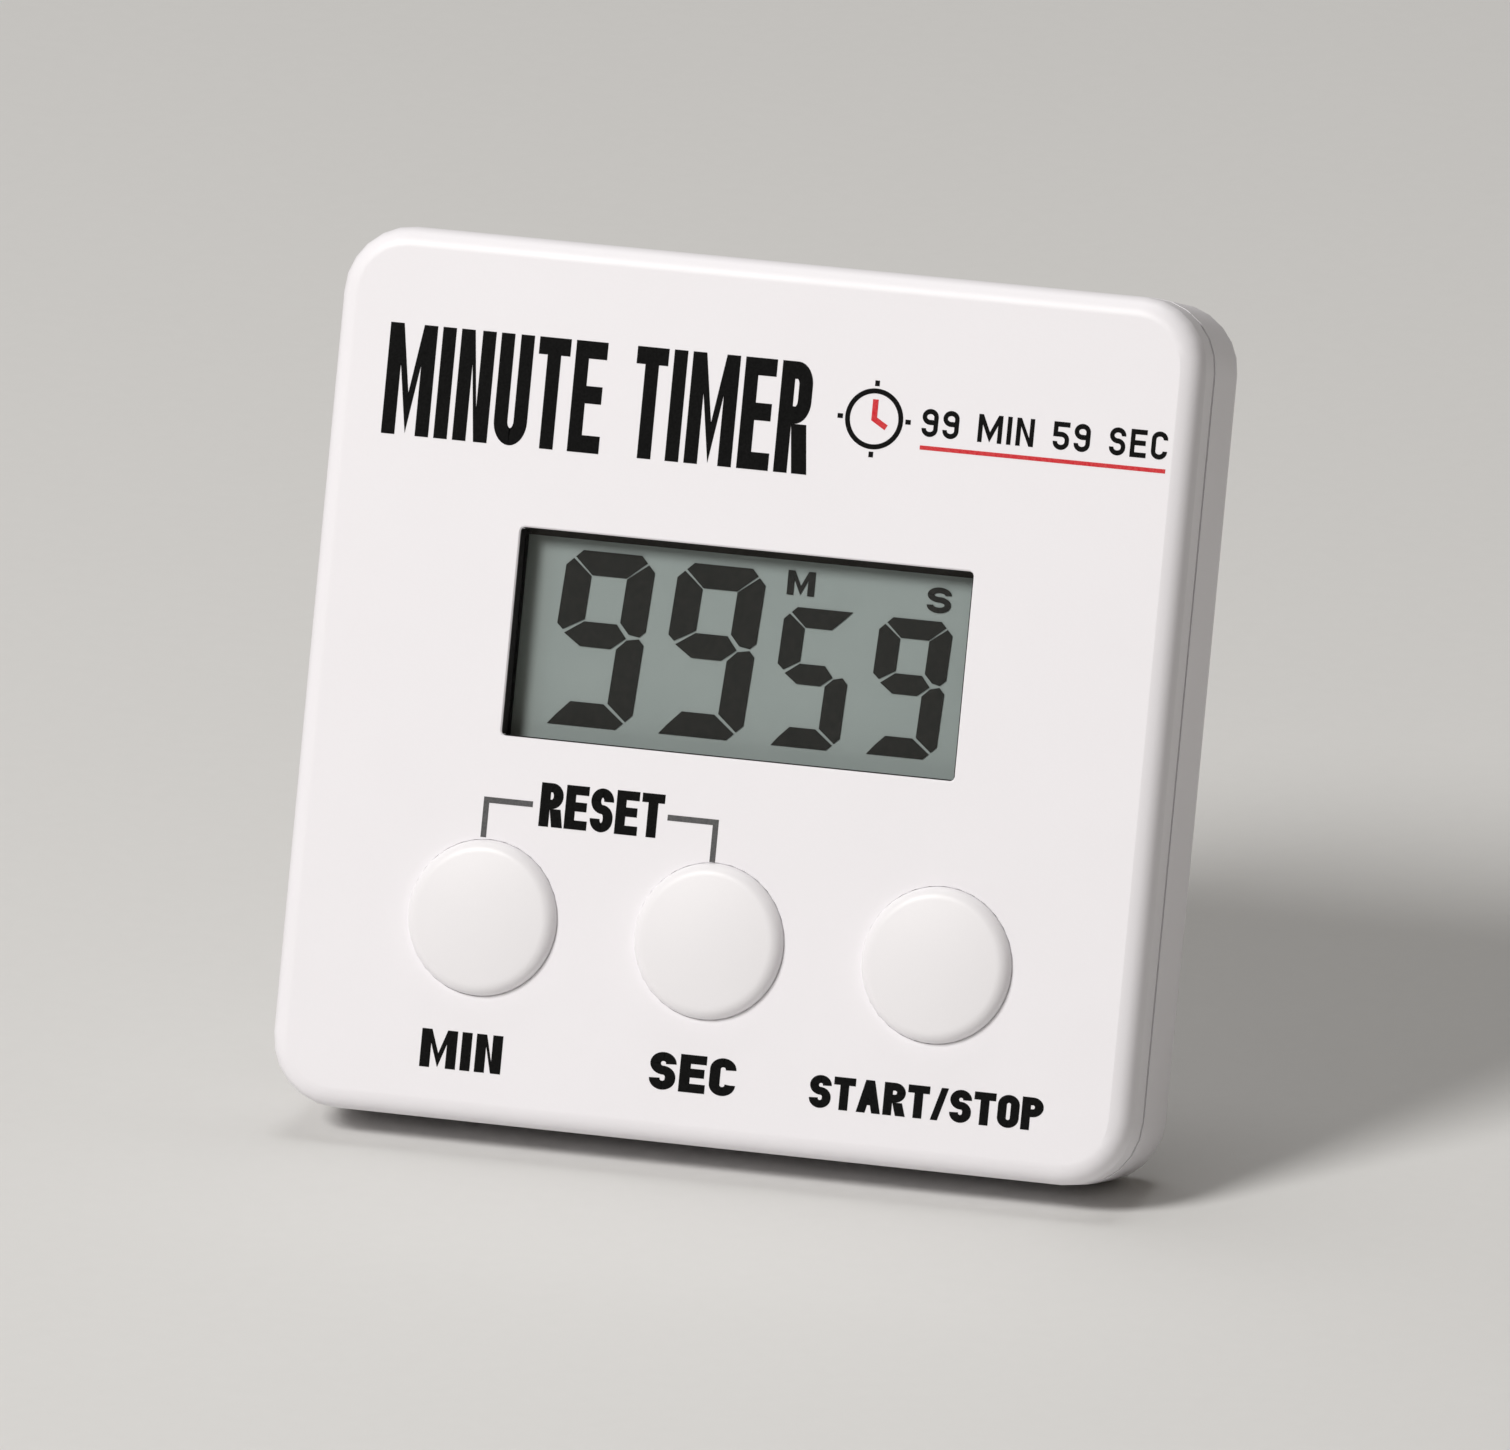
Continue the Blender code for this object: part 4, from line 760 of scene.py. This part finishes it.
def make_door_marks():
    """Raised on the battery door: a plus sign over the coin slot, and a curved arrow for its turn."""
    across, up = DOOR_MIDDLE
    plus_up, reach, half = up + PLUS_UP, PLUS_REACH, PLUS_HALF
    plus = [rectangle(across - reach, plus_up - half, across + reach, plus_up + half),
            rectangle(across - half, plus_up + half, across + half, plus_up + reach),
            rectangle(across - half, plus_up - reach, across + half, plus_up - half)]
    turn = np.radians(np.linspace(*ARROW_SWEEP))
    ray = np.stack((np.cos(turn), np.sin(turn)), axis=1)
    middle = np.array(DOOR_MIDDLE)
    tip, base = np.radians((ARROW_TIP, ARROW_BASE))
    inner, outer = ARROW_RADIUS - ARROW_BARB, ARROW_RADIUS + ARROW_BARB
    head = middle + np.array(((ARROW_RADIUS * np.cos(tip), ARROW_RADIUS * np.sin(tip)),
                              (inner * np.cos(base), inner * np.sin(base)),
                              (outer * np.cos(base), outer * np.sin(base))))
    raised = (DOOR_FACE + MARKS_PROUD, DOOR_FACE - MARKS_SUNK)
    outer_line, inner_line = (middle + ray * (ARROW_RADIUS + side * ARROW_HALF) for side in (1, -1))
    marks = [slab(outline, *raised) for outline in (*plus, head)]
    marks.append(ribbon(outer_line, inner_line, *raised))
    piece("door_marks", marks, WHITE, "door")


# ---------------------------------------------------------------- the rest

DRESSED = (
    ("front_shell", WHITE, "case_white", 0.03),
    ("rear_shell", WHITE, "case_white", 0.08),
    ("stand_leg", WHITE, "case_white", 0.10),
    ("battery_door", WHITE, "case_white", 0.10),
    ("window_lens", LENS, "clear_acrylic", 0.0),
    ("stand_pin", STEEL, "steel", 0.08),
    ("magnet", NICKEL, "ferrite", 0.08),
    ("battery_cell", CAN, "steel", 0.0),
    ("case_screw_1", STEEL, "steel", 0.0),
    ("case_screw_2", STEEL, "steel", 0.0),
    ("case_screw_3", STEEL, "steel", 0.0),
    ("case_screw_4", STEEL, "steel", 0.0),
)

CARRIED = {
    "display_front_glass": FIELD, "display_rear_glass": GLASS, "display_reflector": FOIL,
    "elastomer_connector": ZEBRA, "circuit_board": BOARD, "controller_blob": EPOXY, "crystal_can": CAN,
    "boost_coil": FERRITE, "capacitor_1": TAN, "capacitor_2": TAN, "resistor_1": CHIP,
    "driver_transistor": EPOXY, "keypad_mat": SILICONE, "pill_min": CARBON, "pill_sec": CARBON,
    "pill_start_stop": CARBON, "buzzer_disc": BRASS, "buzzer_ceramic": CERAMIC, "buzzer_wire_red": RED_WIRE,
    "buzzer_wire_black": BLACK_WIRE, "contact_negative": BRONZE, "contact_positive": BRONZE,
    "board_screw_1": STEEL, "board_screw_2": STEEL, "board_screw_3": STEEL, "board_screw_4": STEEL,
}


def repaint_carried():
    """Solids whose own shape is right keep their mesh and take one of the finishes above."""
    for node, finish in CARRIED.items():
        mesh = frame["nodes"][node].data
        mesh.materials.clear()
        mesh.materials.append(finish)


# ---------------------------------------------------------------- the studio

def area_light(name, place, size, power, colour):
    """A round soft light, size metres across, turned to face the middle of the object's face."""
    lamp = bpy.data.lights.new(name, "AREA")
    lamp.shape = "DISK"
    lamp.size = size
    lamp.energy = power
    lamp.color = colour
    made = bpy.data.objects.new(name, lamp)
    made.location = place
    made.rotation_mode = "QUATERNION"
    made.rotation_quaternion = (Vector(MIDDLE) - Vector(place)).to_track_quat("-Z", "Y")
    bpy.context.scene.collection.objects.link(made)


def make_studio():
    """A pale floor that runs out of sight, a big soft light high on the left and a low even fill."""
    floor_mesh = bpy.data.meshes.new("floor")
    floor_mesh.from_pydata(FLOOR, [], [(0, 1, 2, 3)])
    floor = bpy.data.objects.new("floor", floor_mesh)
    bpy.context.scene.collection.objects.link(floor)
    f = Finish("pale floor")
    paper = f.noise(1.5, 3.0)
    tint = f.blend(paper, (0.70, 0.695, 0.685), (0.72, 0.715, 0.705))
    floor_mesh.materials.append(f.principled(Base_Color=tint, Roughness=0.85 + 0.05 * paper))
    area_light("key light", *KEY_LIGHT)
    area_light("top light", *TOP_LIGHT)
    world = bpy.data.worlds.new("studio air")
    world.use_nodes = True
    background = world.node_tree.nodes["Background"]
    background.inputs["Color"].default_value, background.inputs["Strength"].default_value = AIR
    bpy.context.scene.world = world
    bpy.context.scene.view_settings.view_transform = "Standard"
    bpy.context.scene.view_settings.look = "None"


def make_camera():
    """A long lens far off, a little to the right of the object and a little above it."""
    turn, rise = np.radians(CAMERA_TURN), np.radians(CAMERA_RISE)
    away = np.array((np.sin(turn) * np.cos(rise), -np.cos(turn) * np.cos(rise), np.sin(rise)))
    right = np.array((np.cos(turn), np.sin(turn), 0.0))
    up = np.cross(away, right)
    stand = MIDDLE + MM * (CAMERA_AIM[0] * right + CAMERA_AIM[1] * up) + CAMERA_AWAY * away
    lens = bpy.data.cameras.new("camera")
    lens.lens, lens.sensor_width = LENS_MM, SENSOR_MM
    lens.clip_start, lens.clip_end = CLIP
    camera = bpy.data.objects.new("camera", lens)
    camera.matrix_world = Matrix(np.vstack((np.column_stack((right, up, away, stand)), (0, 0, 0, 1))))
    bpy.context.scene.collection.objects.link(camera)
    bpy.context.scene.camera = camera


make_camera()
make_studio()
repaint_carried()
for node, finish, slot, edge in DRESSED:
    dressed(node, finish, edge)
make_domes()
make_keys()
make_display()
make_lettering()
make_door_marks()
